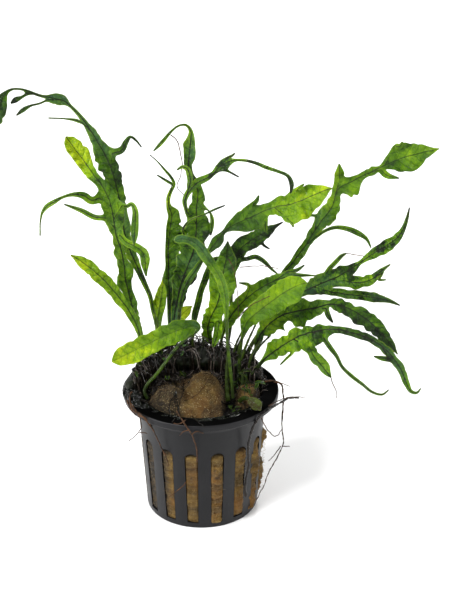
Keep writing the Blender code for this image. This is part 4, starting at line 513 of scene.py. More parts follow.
        (24.4, 22.8, 2.0, 2.4, 3.8), (28.6, 25.8, 0.5, 3.0, 4.6), (33.4, 27.4, -0.8, 3.2, 4.8),
        (38.6, 28.3, -1.8, 2.9, 4.4), (42.4, 29.0, -2.4, 2.3, 3.0), (44.8, 29.7, -2.8, 1.9, 2.2),
        (47.2, 30.0, -3.2, 1.9, 1.8), (52.4, 29.0, -4.2, 2.6, 2.4), (56.2, 27.1, -5.2, 2.9, 2.7),
        (59.8, 24.6, -6.0, 3.0, 2.7), (63.6, 21.2, -6.5, 2.6, 2.4), (66.8, 17.8, -7.0, 1.9, 1.8),
        (69.2, 14.6, -7.5, 1.3), (71.0, 11.9, -8.0, 0.3),
        lobes=[
            lobe("right", 8, (46.2, 25.4, -2.5, 0.9), (47.6, 23.4, -2.5, 0.3))]),
    "frond_lower_right": strip(
        (20.2, 6.9, 2.4, 0.8), (23.0, 10.4, 0.0, 1.2), (26.6, 13.0, -2.0, 2.6, 2.4),
        (30.6, 16.0, -3.5, 3.1, 3.4), (34.8, 18.5, -4.6, 3.1, 4.2), (37.0, 19.4, -5.1, 2.9, 4.6),
        (39.2, 20.1, -5.6, 2.7, 4.8), (42.0, 20.6, -6.3, 2.4, 4.2), (44.2, 21.0, -6.8, 1.9, 2.8),
        (46.2, 21.1, -7.2, 1.7, 2.2), (49.6, 20.9, -7.6, 1.4, 1.5), (53.9, 19.9, -8.0, 1.4, 1.3),
        (59.4, 18.2, -8.6, 1.5), (63.8, 15.9, -9.2, 1.7, 1.6), (67.3, 13.1, -10.2, 1.8, 1.6),
        (69.0, 11.3, -10.8, 1.7, 1.5), (70.4, 9.4, -11.4, 1.6, 1.5), (72.6, 5.6, -12.3, 1.4, 1.3),
        (74.4, 1.2, -13.0, 1.2), (76.0, -1.6, -13.5, 0.9), (77.7, -2.1, -13.8, 0.7),
        (79.4, -0.4, -14.0, 0.3),
        lobes=[
            lobe("right", 5, (40.0, 12.4, -6.5, 1.9, 1.7), (43.0, 8.4, -7.5, 2.2, 2.0),
                 (45.3, 5.6, -8.3, 1.6, 1.4), (46.9, 3.6, -8.8, 0.3)),
            lobe("right", 3, (31.0, 10.6, -4.0, 0.5), (28.5, 8.1, -4.4, 0.25)),
            lobe("right", 8, (46.6, 14.4, -8.0, 0.9), (49.0, 11.2, -8.5, 0.7), (50.8, 7.6, -9.0, 0.6),
                 (54.0, 4.4, -9.5, 0.7), (58.4, 1.0, -10.2, 0.6), (62.2, -1.9, -10.8, 0.5),
                 (65.6, -2.6, -11.0, 0.4), (67.8, -0.9, -11.0, 0.25)),
            lobe("right", 15, (65.4, 10.6, -11.0, 1.0, 0.8), (62.4, 11.2, -11.0, 0.25))]),
    "leaf_over_rim": strip(
        (16.8, -4.0, -13.8, 0.7), (18.2, -5.0, -16.5, 1.6, 1.4), (20.0, -6.6, -20.5, 2.1, 1.8),
        (21.4, -8.2, -24.5, 0.5)),
}

# Each root's route: right, up and back, from where it leaves the crown to its free end.
ROOTS = {
    "root_right_outer": [
        (23.0, 1.8, 0.0), (26.0, 2.4, 0.0), (28.8, 1.2, 0.0), (29.7, -2.6, 0.0),
        (29.6, -7.5, 0.0), (29.2, -13.6, -1.0), (29.6, -20.5, -1.5), (27.2, -25.9, -5.0), (24.6, -30.2, -8.0),
        (22.8, -34.9, -9.0), (20.0, -40.7, -10.0)],
    "root_right_front": [
        (35.0, -3.8, 0.0), (31.7, -3.8, -5.0), (28.8, -5.6, -10.5), (24.9, -7.5, -16.0),
        (21.4, -10.2, -20.0), (18.9, -14.3, -20.5), (17.2, -20.1, -19.0), (17.2, -28.8, -17.6),
        (16.0, -35.3, -17.2), (16.2, -39.3, -16.6)],
    "root_left": [
        (-25.0, -1.6, -9.5), (-26.0, -3.4, -13.4), (-25.4, -7.1, -16.4), (-20.6, -11.4, -22.6),
        (-18.0, -14.8, -22.6), (-15.6, -19.4, -20.4), (-13.2, -24.4, -20.2)],
    "root_centre": [
        (-9.0, -8.6, -24.5), (-7.7, -10.5, -27.5), (-6.0, -13.2, -29.6), (-4.4, -15.6, -29.2),
        (-2.6, -18.9, -26.6), (-1.6, -23.0, -25.0), (-1.6, -26.8, -24.2)],
    "root_aerial": [
        (9.9, 46.6, -2.5), (11.5, 43.2, -4.0), (12.9, 36.7, -5.0), (13.3, 30.0, -5.0),
        (13.4, 24.0, -4.0)],
}

# How each frond looks: its tones at even steps from foot to tip (0 dark, 1 yellow green), how dark
# its midrib is, how mottled its blade is, how much it ruffles and how deep its scallops are.
LOOKS = {
    "frond_tall_left": ((0.44, 0.70, 0.58, 0.48, 0.44, 0.36, 0.50), 0.9, 0.45, 0.9, 0.36),
    "frond_left_pale": ((0.54, 0.62, 0.58, 0.60, 0.66, 0.60, 0.60, 0.96, 1.05), 0.9, 0.30, 0.8, 0.30),
    "frond_left_low": ((0.54, 0.56, 0.74, 0.82, 1.06), 0.8, 0.25, 0.7, 0.26),
    "frond_front_left": ((0.50, 0.50, 0.32, 0.38, 0.66, 0.94, 1.12), 0.4, 0.12, 0.5, 0.22),
    "frond_inner_bright": ((0.62, 0.74, 0.88), 0.6, 0.20, 0.4, 0.20),
    "frond_centre_dark": ((0.20, 0.26, 0.44, 0.60, 0.70, 0.84, 0.90), 0.9, 0.60, 0.9, 0.42),
    "frond_centre_tall": ((0.34, 0.38, 0.40, 0.44, 0.54, 0.60, 0.44, 0.70, 0.95), 1.0, 0.65, 0.8, 0.42),
    "frond_small_yellow": ((0.50, 0.50, 1.10, 1.40), 0.5, 0.20, 0.4, 0.20),
    "frond_upper_right": ((0.46, 0.42, 0.38, 0.36, 0.40, 0.40, 0.36, 0.48, 0.78, 0.80, 0.90),
                          0.8, 0.15, 0.7, 0.34),
    "frond_narrow_glossy": ((0.24, 0.36, 0.50, 0.60), 0.8, 0.50, 0.6, 0.30),
    "frond_front_centre": ((0.58, 0.52, 0.42, 0.58, 0.66, 0.44, 0.38), 0.4, 0.12, 0.5, 0.20),
    "frond_centre_pale": ((0.54, 0.56, 0.64, 0.84, 0.66, 0.56, 0.36), 0.9, 0.30, 0.7, 0.30),
    "frond_mid_right": ((0.56, 0.68, 0.74, 0.76, 0.48, 0.40, 0.54), 0.9, 0.30, 0.8, 0.36),
    "frond_dark_right": ((0.44, 0.60, 0.62, 0.62, 0.28, 0.42, 0.24), 0.9, 0.60, 0.8, 0.40),
    "frond_tall_right": ((0.54, 0.52, 0.46, 0.50, 0.72, 0.56, 0.92), 0.8, 0.25, 0.7, 0.32),
    "frond_wide_right": ((0.30, 0.30, 0.38, 0.56, 0.64, 0.74, 0.72), 0.6, 0.12, 0.5, 0.20),
    "frond_far_right": ((0.50, 0.74, 0.84, 0.52, 0.52, 0.72, 0.62, 0.60, 0.60), 1.0, 0.85, 0.8, 0.40),
    "frond_ruffled_right": ((0.44, 0.58, 0.76, 0.62, 0.46, 0.48, 0.44, 0.34, 0.44), 1.0, 0.60, 1.3, 0.70),
    "frond_lower_right": ((0.46, 0.60, 0.72, 0.52, 0.42, 0.24, 0.34, 0.50, 0.74), 1.0, 0.50, 1.1, 0.60),
    "leaf_over_rim": ((0.20, 0.30, 0.38), 0.6, 0.70, 0.4, 0.20),
}


def seen(right, up, back):
    """The point that the eye sees at (right, up), at the stated distance behind the axis."""
    x, y, depth = right * MM, up * MM, back * MM
    rise = math.sin(EYE_PITCH)
    level = math.cos(EYE_PITCH)
    near = (rise * y - depth) / (level + rise * (y - EYE_UP) / EYE_DISTANCE)
    shrink = 1.0 - near / EYE_DISTANCE
    across = EYE_RIGHT + (x - EYE_RIGHT) * shrink
    height = EYE_UP + (y - EYE_UP) * shrink
    return Vector((across, height * rise - near * level, POT_HEIGHT + height * level + near * rise))


def eye():
    rise = math.sin(EYE_PITCH)
    level = math.cos(EYE_PITCH)
    return Vector((EYE_RIGHT, EYE_UP * rise - EYE_DISTANCE * level,
                   POT_HEIGHT + EYE_UP * level + EYE_DISTANCE * rise))


def around(radius, angle, height):
    """A point round the pot's axis, its angle measured from the front towards the right."""
    return Vector((radius * math.sin(angle), -radius * math.cos(angle), height))


def wall_radius(height):
    """The outer radius of the pot's body at a height."""
    share = height / (POT_HEIGHT - RIM_THICKNESS)
    return BODY_BASE_RADIUS + (BODY_TOP_RADIUS - BODY_BASE_RADIUS) * share


def step_between(low, high, value):
    """0 below low, 1 above high and smooth between."""
    share = np.clip((np.asarray(value, dtype=float) - low) / (high - low), 0.0, 1.0)
    return share * share * (3.0 - 2.0 * share)


def unit(vectors):
    length = np.linalg.norm(vectors, axis=-1, keepdims=True)
    return vectors / np.maximum(length, 1e-12)


def through(stations, spacing):
    """Rows along the smooth curve through the stations, and each station's place among them."""
    stations = np.array(stations, dtype=float)
    gaps = np.maximum(np.linalg.norm(np.diff(stations[:, :3], axis=0), axis=1), 1e-7)
    slopes = np.diff(stations, axis=0) / gaps[:, None]
    share = (gaps[:-1] / (gaps[:-1] + gaps[1:]))[:, None]
    tangents = np.concatenate([slopes[:1], slopes[:-1] * (1 - share) + slopes[1:] * share, slopes[-1:]])
    rows = []
    marks = []
    for i, gap in enumerate(gaps):
        marks.append(len(rows))
        count = max(1, round(gap / spacing))
        for step in range(count):
            t = step / count
            t2, t3 = t * t, t * t * t
            rows.append((2 * t3 - 3 * t2 + 1) * stations[i] + (t3 - 2 * t2 + t) * gap * tangents[i]
                        + (3 * t2 - 2 * t3) * stations[i + 1] + (t3 - t2) * gap * tangents[i + 1])
    marks.append(len(rows))
    rows.append(stations[-1])
    return np.array(rows), marks


def laid_out(route):
    """Points along the smooth curve through places that are given as right, up and back."""
    return through([tuple(seen(*place)) for place in route], PATH_SPACING)[0]


def wandered(points, scale, size):
    """The points moved by a smooth noise of a fineness and a size in millimetres."""
    moves = [[noise.noise(Vector(point * scale) + Vector((k * 9.0, 0.0, 0.0))) for k in range(3)]
             for point in points]
    return points + np.array(moves) * size * MM


def swollen(points, scale, share):
    """The share of its radius that a root or stalk has at each point, uneven by noise."""
    return np.array([1.0 + share * noise.noise(Vector(point * scale)) for point in points])


def placed(name, data):
    """An object with its data, in the scene."""
    item = bpy.data.objects.new(name, data)
    bpy.context.scene.collection.objects.link(item)
    return item


def add_field(mesh, label, values):
    """A value for each point of a mesh, which its material reads."""
    mesh.attributes.new(label, "FLOAT", "POINT").data.foreach_set("value", values)


def mesh_object(name, points, faces, material, fields=None):
    """A smooth mesh as a piece, with its material and its fields."""
    mesh = bpy.data.meshes.new(name)
    mesh.from_pydata([tuple(point) for point in points], [], faces)
    for label, values in (fields or {}).items():
        add_field(mesh, label, values)
    mesh.materials.append(material)
    mesh.shade_smooth()
    return placed(name, mesh)


def grid_faces(rows, columns, closed=True, first=0):
    """The quads between the rows of a grid of vertices. A closed row joins its own start."""
    faces = []
    for row in range(rows - 1):
        for k in range(columns if closed else columns - 1):
            low = first + row * columns
            j = (k + 1) % columns
            faces.append((low + k, low + j, low + columns + j, low + columns + k))
    return faces


def tubes(name, paths, sides, material):
    """One mesh of many thin tubes, each given as its points and its radii."""
    vertices = []
    faces = []
    for points, radii in paths:
        points = np.array([tuple(point) for point in points])
        tangents = unit(np.gradient(points, axis=0))
        across = np.cross(tangents[0], (0.31, 0.52, 0.79))
        first = len(vertices)
        for point, tangent, radius in zip(points, tangents, radii):
            across = unit(across - tangent * np.dot(across, tangent))
            other = np.cross(tangent, across)
            for k in range(sides):
                angle = math.tau * k / sides
                vertices.append(point + radius * (math.cos(angle) * across + math.sin(angle) * other))
        faces += grid_faces(len(points), sides, first=first)
        last = len(vertices) - sides
        faces.append(tuple(first + k for k in reversed(range(sides))))
        faces.append(tuple(last + k for k in range(sides)))
    item = mesh_object(name, vertices, faces, material)
    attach(item, "root")
    return item


def sheet(name, points, quads, thickness, fields, material):
    """A closed shell of even thickness round a surface."""
    points = np.array(points)
    quads = np.array(quads)
    shell, faces = thickened(points, quads, vertex_normals(points, quads), boundary_edges(quads),
                             np.full(len(points), thickness))
    fields = {label: values + values for label, values in fields.items()}
    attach(mesh_object(name, shell, faces.tolist(), material, fields), "root")


def strip_frames(points, turns):
    """The direction of the right margin and of the upper face at each point of a strip."""
    along = unit(np.gradient(points, axis=0))
    side = unit(np.cross(along, unit(np.array(eye()) - points)))
    for _ in range(4):
        side[1:-1] = side[:-2] + side[1:-1] * 2 + side[2:]
        side = unit(side - along * np.sum(side * along, axis=1, keepdims=True))
    face = np.cross(side, along)
    turns = np.radians(turns)[:, None]
    side = side * np.cos(turns) + face * -np.sin(turns)
    return side, np.cross(side, along)


def scallops(travel, width, seed, depth):
    """The share of its width that a margin keeps: irregular rounded lobes with sharp notches."""
    values = []
    for distance, reach in zip(travel, width):
        drift = noise.noise(Vector((distance / (8.0 * MM), seed * 3.7, 0.5)))
        phase = distance / SCALLOP_PITCH + 2.4 * drift + seed * 0.37
        bump = abs(math.sin(math.pi * phase)) ** 0.5
        size = 0.45 + 1.7 * abs(noise.noise(Vector((distance / (6.3 * MM), seed * 1.9, 7.5))))
        slow = noise.noise(Vector((distance / (4.6 * MM), seed * 4.3, 2.5)))
        broad = float(step_between(0.9 * MM, 2.0 * MM, reach))
        values.append(1.0 + broad * depth * (size * (bump - 0.70) + 0.9 * slow))
    return np.array(values)


def ruffles(travel, seed):
    """A slow irregular wave from -1 to 1 along a margin."""
    values = []
    for distance in travel:
        drift = noise.noise(Vector((distance / (9.0 * MM), seed * 2.3, 3.5)))
        swell = 0.3 + 1.4 * abs(noise.noise(Vector((distance / (7.0 * MM), seed * 5.1, 1.5))))
        values.append(swell * math.sin(math.tau * (distance / RUFFLE_PITCH + 1.6 * drift) + seed * 2.1))
    return np.array(values)


class Cage:
    """The vertices and faces of one frond's coarse surface, with its midribs."""

    def __init__(self, ruffle, depth):
        self.points = []
        self.stalk = []
        self.faces = []
        self.ribs = []
        self.ruffle = ruffle
        self.depth = depth
        self.strips = 0

    def add_row(self, points, stalk):
        first = len(self.points)
        self.points.extend(points)
        self.stalk.extend([stalk] * len(points))
        return list(range(first, len(self.points)))


def add_strip(cage, design, base=None, rib_start=None, begun=0.0):
    """Grow a strip from its foot or from its parent's margin, and its own lobes from its margins."""
    cage.strips += 1
    seed = cage.strips * 1.31 + design["rows"][0][0] * 0.17
    stations = [(*seen(*row[:3]), row[3] * MM, row[4] * MM, row[5]) for row in design["rows"]]
    if base:
        stations.insert(0, (*cage.points[base[len(base) // 2]], *stations[0][3:]))
    columns = len(base) if base else 5
    rows, marks = through(stations, ROW_SPACING)
    points = rows[:, :3]
    travel = np.concatenate([[0.0], np.cumsum(np.linalg.norm(np.diff(points, axis=0), axis=1))])
    side, face = strip_frames(points, rows[:, 5])
    left = np.maximum(rows[:, 3], LEAST_HALF_WIDTH)
    right = np.maximum(rows[:, 4], LEAST_HALF_WIDTH)
    widest = np.maximum(left, right)
    slender = STALK_SHARE + (1.0 - STALK_SHARE) * step_between(0.9 * MM, 1.5 * MM, widest)
    blade = int(np.argmin(widest <= STALK_HALF_WIDTH))
    wave_left = ruffles(travel, seed)
    wave_right = ruffles(travel, seed + 11.0)
    left = left * scallops(travel, left, seed + 3.0, cage.depth)
    right = right * scallops(travel, right, seed + 7.0, cage.depth)
    if not base:
        left, right = left * slender, right * slender
    grid = [base] if base else []
    for i in range(1 if base else 0, len(rows)):
        line = []
        for share in np.linspace(-1.0, 1.0, columns):
            reach = left[i] if share < 0 else right[i]
            wave = wave_left[i] if share < 0 else wave_right[i]
            broad = float(step_between(0.9 * MM, 2.2 * MM, reach))
            lift = cage.ruffle * 0.40 * reach * wave * broad * abs(share) ** 1.5
            lift -= KEEL * (left[i] + right[i]) / 2 * (1.0 - abs(share)) * (0.35 + 0.65 * broad)
            line.append(points[i] + side[i] * reach * share + face[i] * lift)
        grid.append(cage.add_row(line, 0.0 if base else float(step_between(-2.0, 7.0, blade - i))))
    for low, high in zip(grid, grid[1:]):
        for k in range(columns - 1):
            cage.faces.append((low[k], low[k + 1], high[k + 1], high[k]))
    middle = columns // 2
    rib = [line[middle] for line in grid]
    if rib_start is not None:
        rib.insert(0, rib_start)
    cage.ribs.append((rib, 0.7 if base else 1.0, begun))
    for branch in design["lobes"]:
        reach = lobe_reach(branch["rows"])
        at = min(max(marks[branch["at"] + (1 if base else 0)], reach), len(grid) - 1 - reach)
        column = 0 if branch["side"] == "left" else columns - 1
        foot = [grid[at + k][column] for k in range(-reach, reach + 1)]
        if branch["side"] == "right":
            foot.reverse()
        clear = clear_of_margin(branch, cage.points[grid[at][middle]], cage.points[foot[reach]])
        below = max(at - RIB_SLANT, 0)
        add_strip(cage, clear, foot, grid[below][middle], begun + travel[below])


def lobe_reach(rows):
    """How many rows of its parent's margin a lobe grows from, each way from its middle."""
    width = max(row[3] + row[4] for row in rows[:2]) * MM
    return int(np.clip(round((1.3 * width + 0.8 * MM) / (2.0 * ROW_SPACING)), 1, 4))


def clear_of_margin(branch, middle, margin):
    """The lobe without first rows that its parent's blade would cover."""
    out = unit(np.array(margin) - np.array(middle))
    rows = list(branch["rows"])
    while len(rows) > 2 and np.dot(np.array(seen(*rows[0][:3])) - margin, out) < 0.5 * MM:
        rows.pop(0)
    return dict(branch, rows=rows)


def smoothed(name, cage):
    """The cage's surface after subdivision: its vertices, its faces and how much each is stalk."""
    mesh = bpy.data.meshes.new(name)
    mesh.from_pydata([tuple(point) for point in cage.points], [], cage.faces)
    add_field(mesh, "carried", cage.stalk)
    item = placed(name, mesh)
    soften = item.modifiers.new("Soften", "SUBSURF")
    soften.levels = SMOOTHING
    soften.render_levels = SMOOTHING
    ready = item.evaluated_get(bpy.context.evaluated_depsgraph_get())
    fine = ready.to_mesh()
    spots = np.empty(len(fine.vertices) * 3)
    fine.vertices.foreach_get("co", spots)
    loops = np.empty(len(fine.loops), dtype=int)
    fine.loops.foreach_get("vertex_index", loops)
    carried = np.zeros(len(fine.vertices))
    fine.attributes["carried"].data.foreach_get("value", carried)
    ready.to_mesh_clear()
    bpy.data.objects.remove(item, do_unlink=True)
    bpy.data.meshes.remove(mesh)
    return spots.reshape(-1, 3), loops.reshape(-1, 4), carried


def vertex_normals(points, quads):
    across = points[quads[:, 2]] - points[quads[:, 0]]
    up = points[quads[:, 3]] - points[quads[:, 1]]
    normals = np.cross(across, up)
    total = np.zeros_like(points)
    for k in range(4):
        np.add.at(total, quads[:, k], normals)
    return unit(total)


def boundary_edges(quads):
    """The edges that only one face has, in that face's own direction."""
    edges = np.concatenate([quads[:, [k, (k + 1) % 4]] for k in range(4)])
    keys = np.sort(edges, axis=1)
    _, index, count = np.unique(keys, axis=0, return_index=True, return_counts=True)
    return edges[index[count == 1]]


def nearest_rib(points, normals, ribs):
    """For each point the nearest midrib's distance, travel, strength, share run, reach and side."""
    best = np.full(len(points), 1e9)
    found = np.zeros((5, len(points)))
    for line, weight, offset in ribs:
        path = points[line]
        starts, ends = path[:-1], path[1:]
        steps = ends - starts
        lengths = np.maximum(np.linalg.norm(steps, axis=1), 1e-9)
        begins = np.concatenate([[0.0], np.cumsum(lengths)[:-1]])
        slow = 1.0 if weight == 1.0 else 0.3
        for start, step, length, begin in zip(starts, steps, lengths, begins):
            share = np.clip((points - start) @ step / (length * length), 0.0, 1.0)
            away = np.linalg.norm(points - start - share[:, None] * step, axis=1)
            nearer = away < best
            best[nearer] = away[nearer]
            run = begin + share * length
            turn = np.sign(np.sum(np.cross(normals, step) * (points - start), axis=1))
            values = (offset + run, weight * (1.0 - 0.55 * run / lengths.sum()), run / lengths.sum(),
                      offset + slow * run, turn)
            found[:, nearer] = np.array(values)[:, nearer]
    return best, *found


def edge_distance(points, edges):
    """For each point the distance to the blade's margin."""
    margin = points[edges[:, 0]]
    tree = kdtree.KDTree(len(margin))
    for i, point in enumerate(margin):
        tree.insert(point, i)
    tree.balance()
    return np.array([tree.find(point)[2] for point in points])


def thickened(points, quads, normals, edges, thickness):
    """A closed shell: both faces of the surface, half its thickness either way, and its rim."""
    half = normals * thickness[:, None] / 2
    count = len(points)
    both = np.concatenate([points + half, points - half])
    rim = np.stack([edges[:, 1], edges[:, 0], edges[:, 0] + count, edges[:, 1] + count], axis=1)
    faces = np.concatenate([quads, quads[:, ::-1] + count, rim])
    return both, faces


def frond(name, design, material):
    """One frond as a thin closed shell: stalk, midribs, ruffled blade and side lobes."""
    tones, rib_dark, mottle, ruffle, depth = LOOKS[name]
    cage = Cage(ruffle, depth)
    add_strip(cage, design)
    points, quads, stalk = smoothed(name, cage)
    normals = vertex_normals(points, quads)
    edges = boundary_edges(quads)
    rib, travel, strength, end, reached, half = nearest_rib(points, normals, cage.ribs)
    margin = edge_distance(points, edges)
    blade = 1.0 - step_between(0.3, 0.9, stalk)
    quilt = np.abs(np.sin(math.pi * (travel - VEIN_SLANT * rib) / (VEIN_PITCH * MM)))
    reach = step_between(0.2 * MM, 1.2 * MM, np.minimum(rib, margin * 1.5))
    swell = np.array([noise.noise(Vector(point) / (4.2 * MM)) for point in points])
    rise = 0.26 * MM * (quilt - 0.5) + 0.75 * MM * swell
    points = points + normals * (rise * reach * blade)[:, None]
    normals = vertex_normals(points, quads)
    share = np.clip(reached / reached.max(), 0.0, 1.0)
    # One half of the blade beside the midrib is painted a little lighter and the other a little darker:
    # painted light and shade across the fold.
    tone = np.interp(share, np.linspace(0.0, 1.0, len(tones)), tones) + 0.05 * half * blade
    oval = np.sqrt(np.clip(1.0 - (rib / np.maximum(rib + margin, 1e-9)) ** 2, 0.0, 1.0))
    ridge = RIB_THICKNESS * strength * np.exp(-(rib / RIB_WIDTH) ** 2)
    thickness = (BLADE_THICKNESS + ridge) * blade + (1.0 - blade) * STALK_THICKNESS * (0.12 + 0.88 * oval)
    shell, faces = thickened(points, quads, normals, edges, thickness)
    values = (tone, rib / MM / np.maximum(strength, 0.5), travel / MM, rib / MM, margin / MM, 1.0 - blade,
              np.full(len(points), rib_dark), np.full(len(points), mottle), end)
    fields = {label: np.concatenate([value, value]) for label, value in zip(LEAF_FIELDS, values)}
    item = mesh_object("blade_" + name, shell, faces.tolist(), material, fields)
    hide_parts(name)
    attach(item, "root")


def put(tree, place, value):
    """Link a shader value to an input, or set the input to a number, a vector or a colour."""
    if isinstance(value, Value):
        tree.links.new(value.socket, place)
    else:
        place.default_value = (*value, 1.0) if place.type == "RGBA" else value


def node(tree, kind, inputs=None, **settings):
    """A shader node with its settings, and its inputs set or linked."""
    made = tree.nodes.new(kind)
    for label, value in settings.items():
        setattr(made, label, value)
    for label, value in (inputs or {}).items():
        put(tree, made.inputs[label], value)
    return made


class Value:
    """A value in a shader tree: sums and products with it become maths nodes."""

    def __init__(self, tree, socket):
        self.tree = tree
        self.socket = socket

    def maths(self, operation, first, second, clamp=False):
        made = node(self.tree, "ShaderNodeMath", {0: first, 1: second}, operation=operation, use_clamp=clamp)
        return Value(self.tree, made.outputs[0])

    def __add__(self, other):
        return self.maths("ADD", self, other)

    def __sub__(self, other):
        return self.maths("SUBTRACT", self, other)

    def __rsub__(self, other):
        """A number less this value, and 0 where that would be negative."""
        return self.maths("SUBTRACT", other, self, clamp=True)

    def __mul__(self, other):
        return self.maths("MULTIPLY", self, other)

    def __truediv__(self, other):
        return self.maths("DIVIDE", self, other)

    def or_more(self, other):
        return self.maths("MAXIMUM", self, other)

    def back_and_forth(self, top):
        """The value folded to run from 0 to top and back."""
        return self.maths("PINGPONG", self, top)

    def about_zero(self, gain):
        """A noise value less its middle, times a gain."""
        return (self - 0.5) * gain

    def ranged(self, low, high, to_low=0.0, to_high=1.0):
        """The value eased from one range to another."""
        inputs = {"Value": self, "From Min": low, "From Max": high, "To Min": to_low, "To Max": to_high}
        made = node(self.tree, "ShaderNodeMapRange", inputs, interpolation_type="SMOOTHSTEP")
        return Value(self.tree, made.outputs["Result"])


class Skin:
    """A material in the making."""

    def __init__(self, name):
        self.material = bpy.data.materials.new(name)
        self.material.use_nodes = True
        self.tree = self.material.node_tree

    def made(self, kind, output, inputs=None, **settings):
        return Value(self.tree, node(self.tree, kind, inputs, **settings).outputs[output])

    def spot(self):
        return self.made("ShaderNodeTexCoord", "Object")

    def noise(self, scale, detail, rough=0.5, spot=None, distortion=0.0):
        inputs = {"Vector": spot or self.spot(), "Scale": scale, "Detail": detail, "Roughness": rough,
                  "Distortion": distortion}
        return self.made("ShaderNodeTexNoise", "Fac", inputs)

    def cells(self, scale, feature="F1"):
        return self.made("ShaderNodeTexVoronoi", "Distance", {"Vector": self.spot(), "Scale": scale},
                         feature=feature)

    def field(self, label):
        """A value that the mesh carries."""
        return self.made("ShaderNodeAttribute", "Fac", attribute_name=label)

    def mixed(self, share, first, second):
        """Two colours mixed by a share."""
        return self.made("ShaderNodeMix", 2, {0: share, 6: first, 7: second}, data_type="RGBA")

    def ramp(self, value, stops):
        """A colour by value, between stops that are a place and a colour each."""
        made = node(self.tree, "ShaderNodeValToRGB", {"Fac": value})
        elements = made.color_ramp.elements
        while len(elements) < len(stops):
            elements.new(0.5)
        for element, (place, colour) in zip(elements, stops):
            element.position = place
            element.color = (*colour, 1.0)
        return Value(self.tree, made.outputs["Color"])

    def bumps(self, height, strength, depth):
        """A normal from a height, for bumps of a depth in millimetres."""
        inputs = {"Height": height, "Strength": strength, "Distance": depth * MM}
        return self.made("ShaderNodeBump", "Normal", inputs)

    def finished(self, inputs):
        """The material, with its shader's inputs set or linked."""
        shader = self.tree.nodes["Principled BSDF"]
        for label, value in inputs.items():
            put(self.tree, shader.inputs[label], value)
        return self.material


def leaf_material(name, olive=0.0):
    """A wet fern blade: greens by tone, dark midribs, side veins, dark patches, margins paled partly as a
    painted highlight, and painted sheen.
    """
    skin = Skin(name)
    cloud = skin.noise(210.0, 4.0, 0.6)
    broad = skin.noise(62.0, 2.0, 0.6)
    patch = skin.noise(135.0, 5.0, 0.62)
    fleck = skin.noise(520.0, 3.0, 0.6)
    grain = skin.noise(1400.0, 3.0, 0.6)
    tone, rib, travel, across, margin, stalk, rib_dark, mottle, end = map(skin.field, LEAF_FIELDS)

    phase = (travel - across * VEIN_SLANT) / VEIN_PITCH + cloud.about_zero(1.6)
    vein = phase.back_and_forth(0.5).ranged(0.10, 0.0) * margin.ranged(0.1, 0.8)
    lines = vein.or_more(skin.cells(900.0, "DISTANCE_TO_EDGE").ranged(0.10, 0.0) * 0.5)
    speckle = fleck.ranged(0.54, 0.64) * broad.ranged(0.42, 0.60)
    blotch = (patch + mottle * 0.10).ranged(0.58, 0.70) * mottle
    tip = end.ranged(0.86, 1.0) * mottle
    shade = lines.or_more(speckle) * 0.30 * (mottle * 0.9 + 0.40) + blotch.or_more(tip) * 0.55

    drift = cloud.about_zero(0.8) + broad.about_zero(0.7) + fleck.about_zero(1.0) * (mottle * 0.5 + 0.25)
    colour = skin.ramp(tone + drift - shade, LEAF_GREENS)
    # Painted grey-blue sheen in broad patches, stronger on darker greens.
    colour = skin.mixed(broad.ranged(0.48, 0.64) * (0.85 - tone), colour, PAINTED_SHEEN_COLOUR)
    # Paler yellow-green near the margins: partly the blade's own colour, partly a painted highlight along the
    # edge.
    pale = margin.ranged(0.45, 0.05) * broad.ranged(0.4, 0.62, 0.0, 0.40)
    colour = skin.mixed(pale, colour, PALE_MARGIN_AND_HIGHLIGHT_COLOUR)
    rib_line = (rib + fleck.about_zero(0.5)).ranged(0.44, 0.20) * rib_dark
    colour = skin.mixed(rib_line, colour, MIDRIB_COLOUR)
    stem = skin.ramp(tone + fleck.about_zero(1.6), STEM_GREENS)
    stem = skin.mixed(speckle * 0.75, stem, STEM_SPECKLE_COLOUR)
    stem = skin.mixed(travel.ranged(13.0, 3.0) * 0.8, stem, STEM_FOOT_COLOUR)
    colour = skin.mixed(stalk, colour, stem)
    return skin.finished({
        "Base Color": skin.mixed(olive, colour, OLIVE_COLOUR),
        "Roughness": cloud.ranged(0.3, 0.7, 0.28, 0.50),
        "Specular IOR Level": 0.06,
        "Coat Weight": 0.40,
        "Coat Roughness": 0.10,
        "Coat IOR": 1.4,
        "Subsurface Weight": 0.06,
        "Subsurface Radius": (0.5, 1.0, 0.05),
        "Subsurface Scale": 0.4 * MM,
        "Normal": skin.bumps(grain * 0.3 - lines * 0.9 + cloud * 7.0, 0.9, 0.20),
        "Coat Normal": skin.bumps(fleck + grain * 0.7, 1.0, 1.0)})


def plastic_material(name, dark, light, gleam):
    """Wet black moulded plastic with faint flow marks and a little dust."""
    skin = Skin(name)
    broad = skin.noise(90.0, 5.0)
    fine = skin.noise(1900.0, 4.0)
    dust = skin.cells(900.0).ranged(0.16, 0.05) * broad.ranged(0.50, 0.72) * 0.30
    return skin.finished({
        "Base Color": skin.mixed(dust, skin.ramp(broad, ((0.3, dark), (0.7, light))), DUST_COLOUR),
        "Roughness": broad.ranged(0.3, 0.7, 0.34, 0.46),
        "Specular IOR Level": gleam,
        "Normal": skin.bumps(broad * 0.5 + fine * 0.2, 0.25, 0.15)})


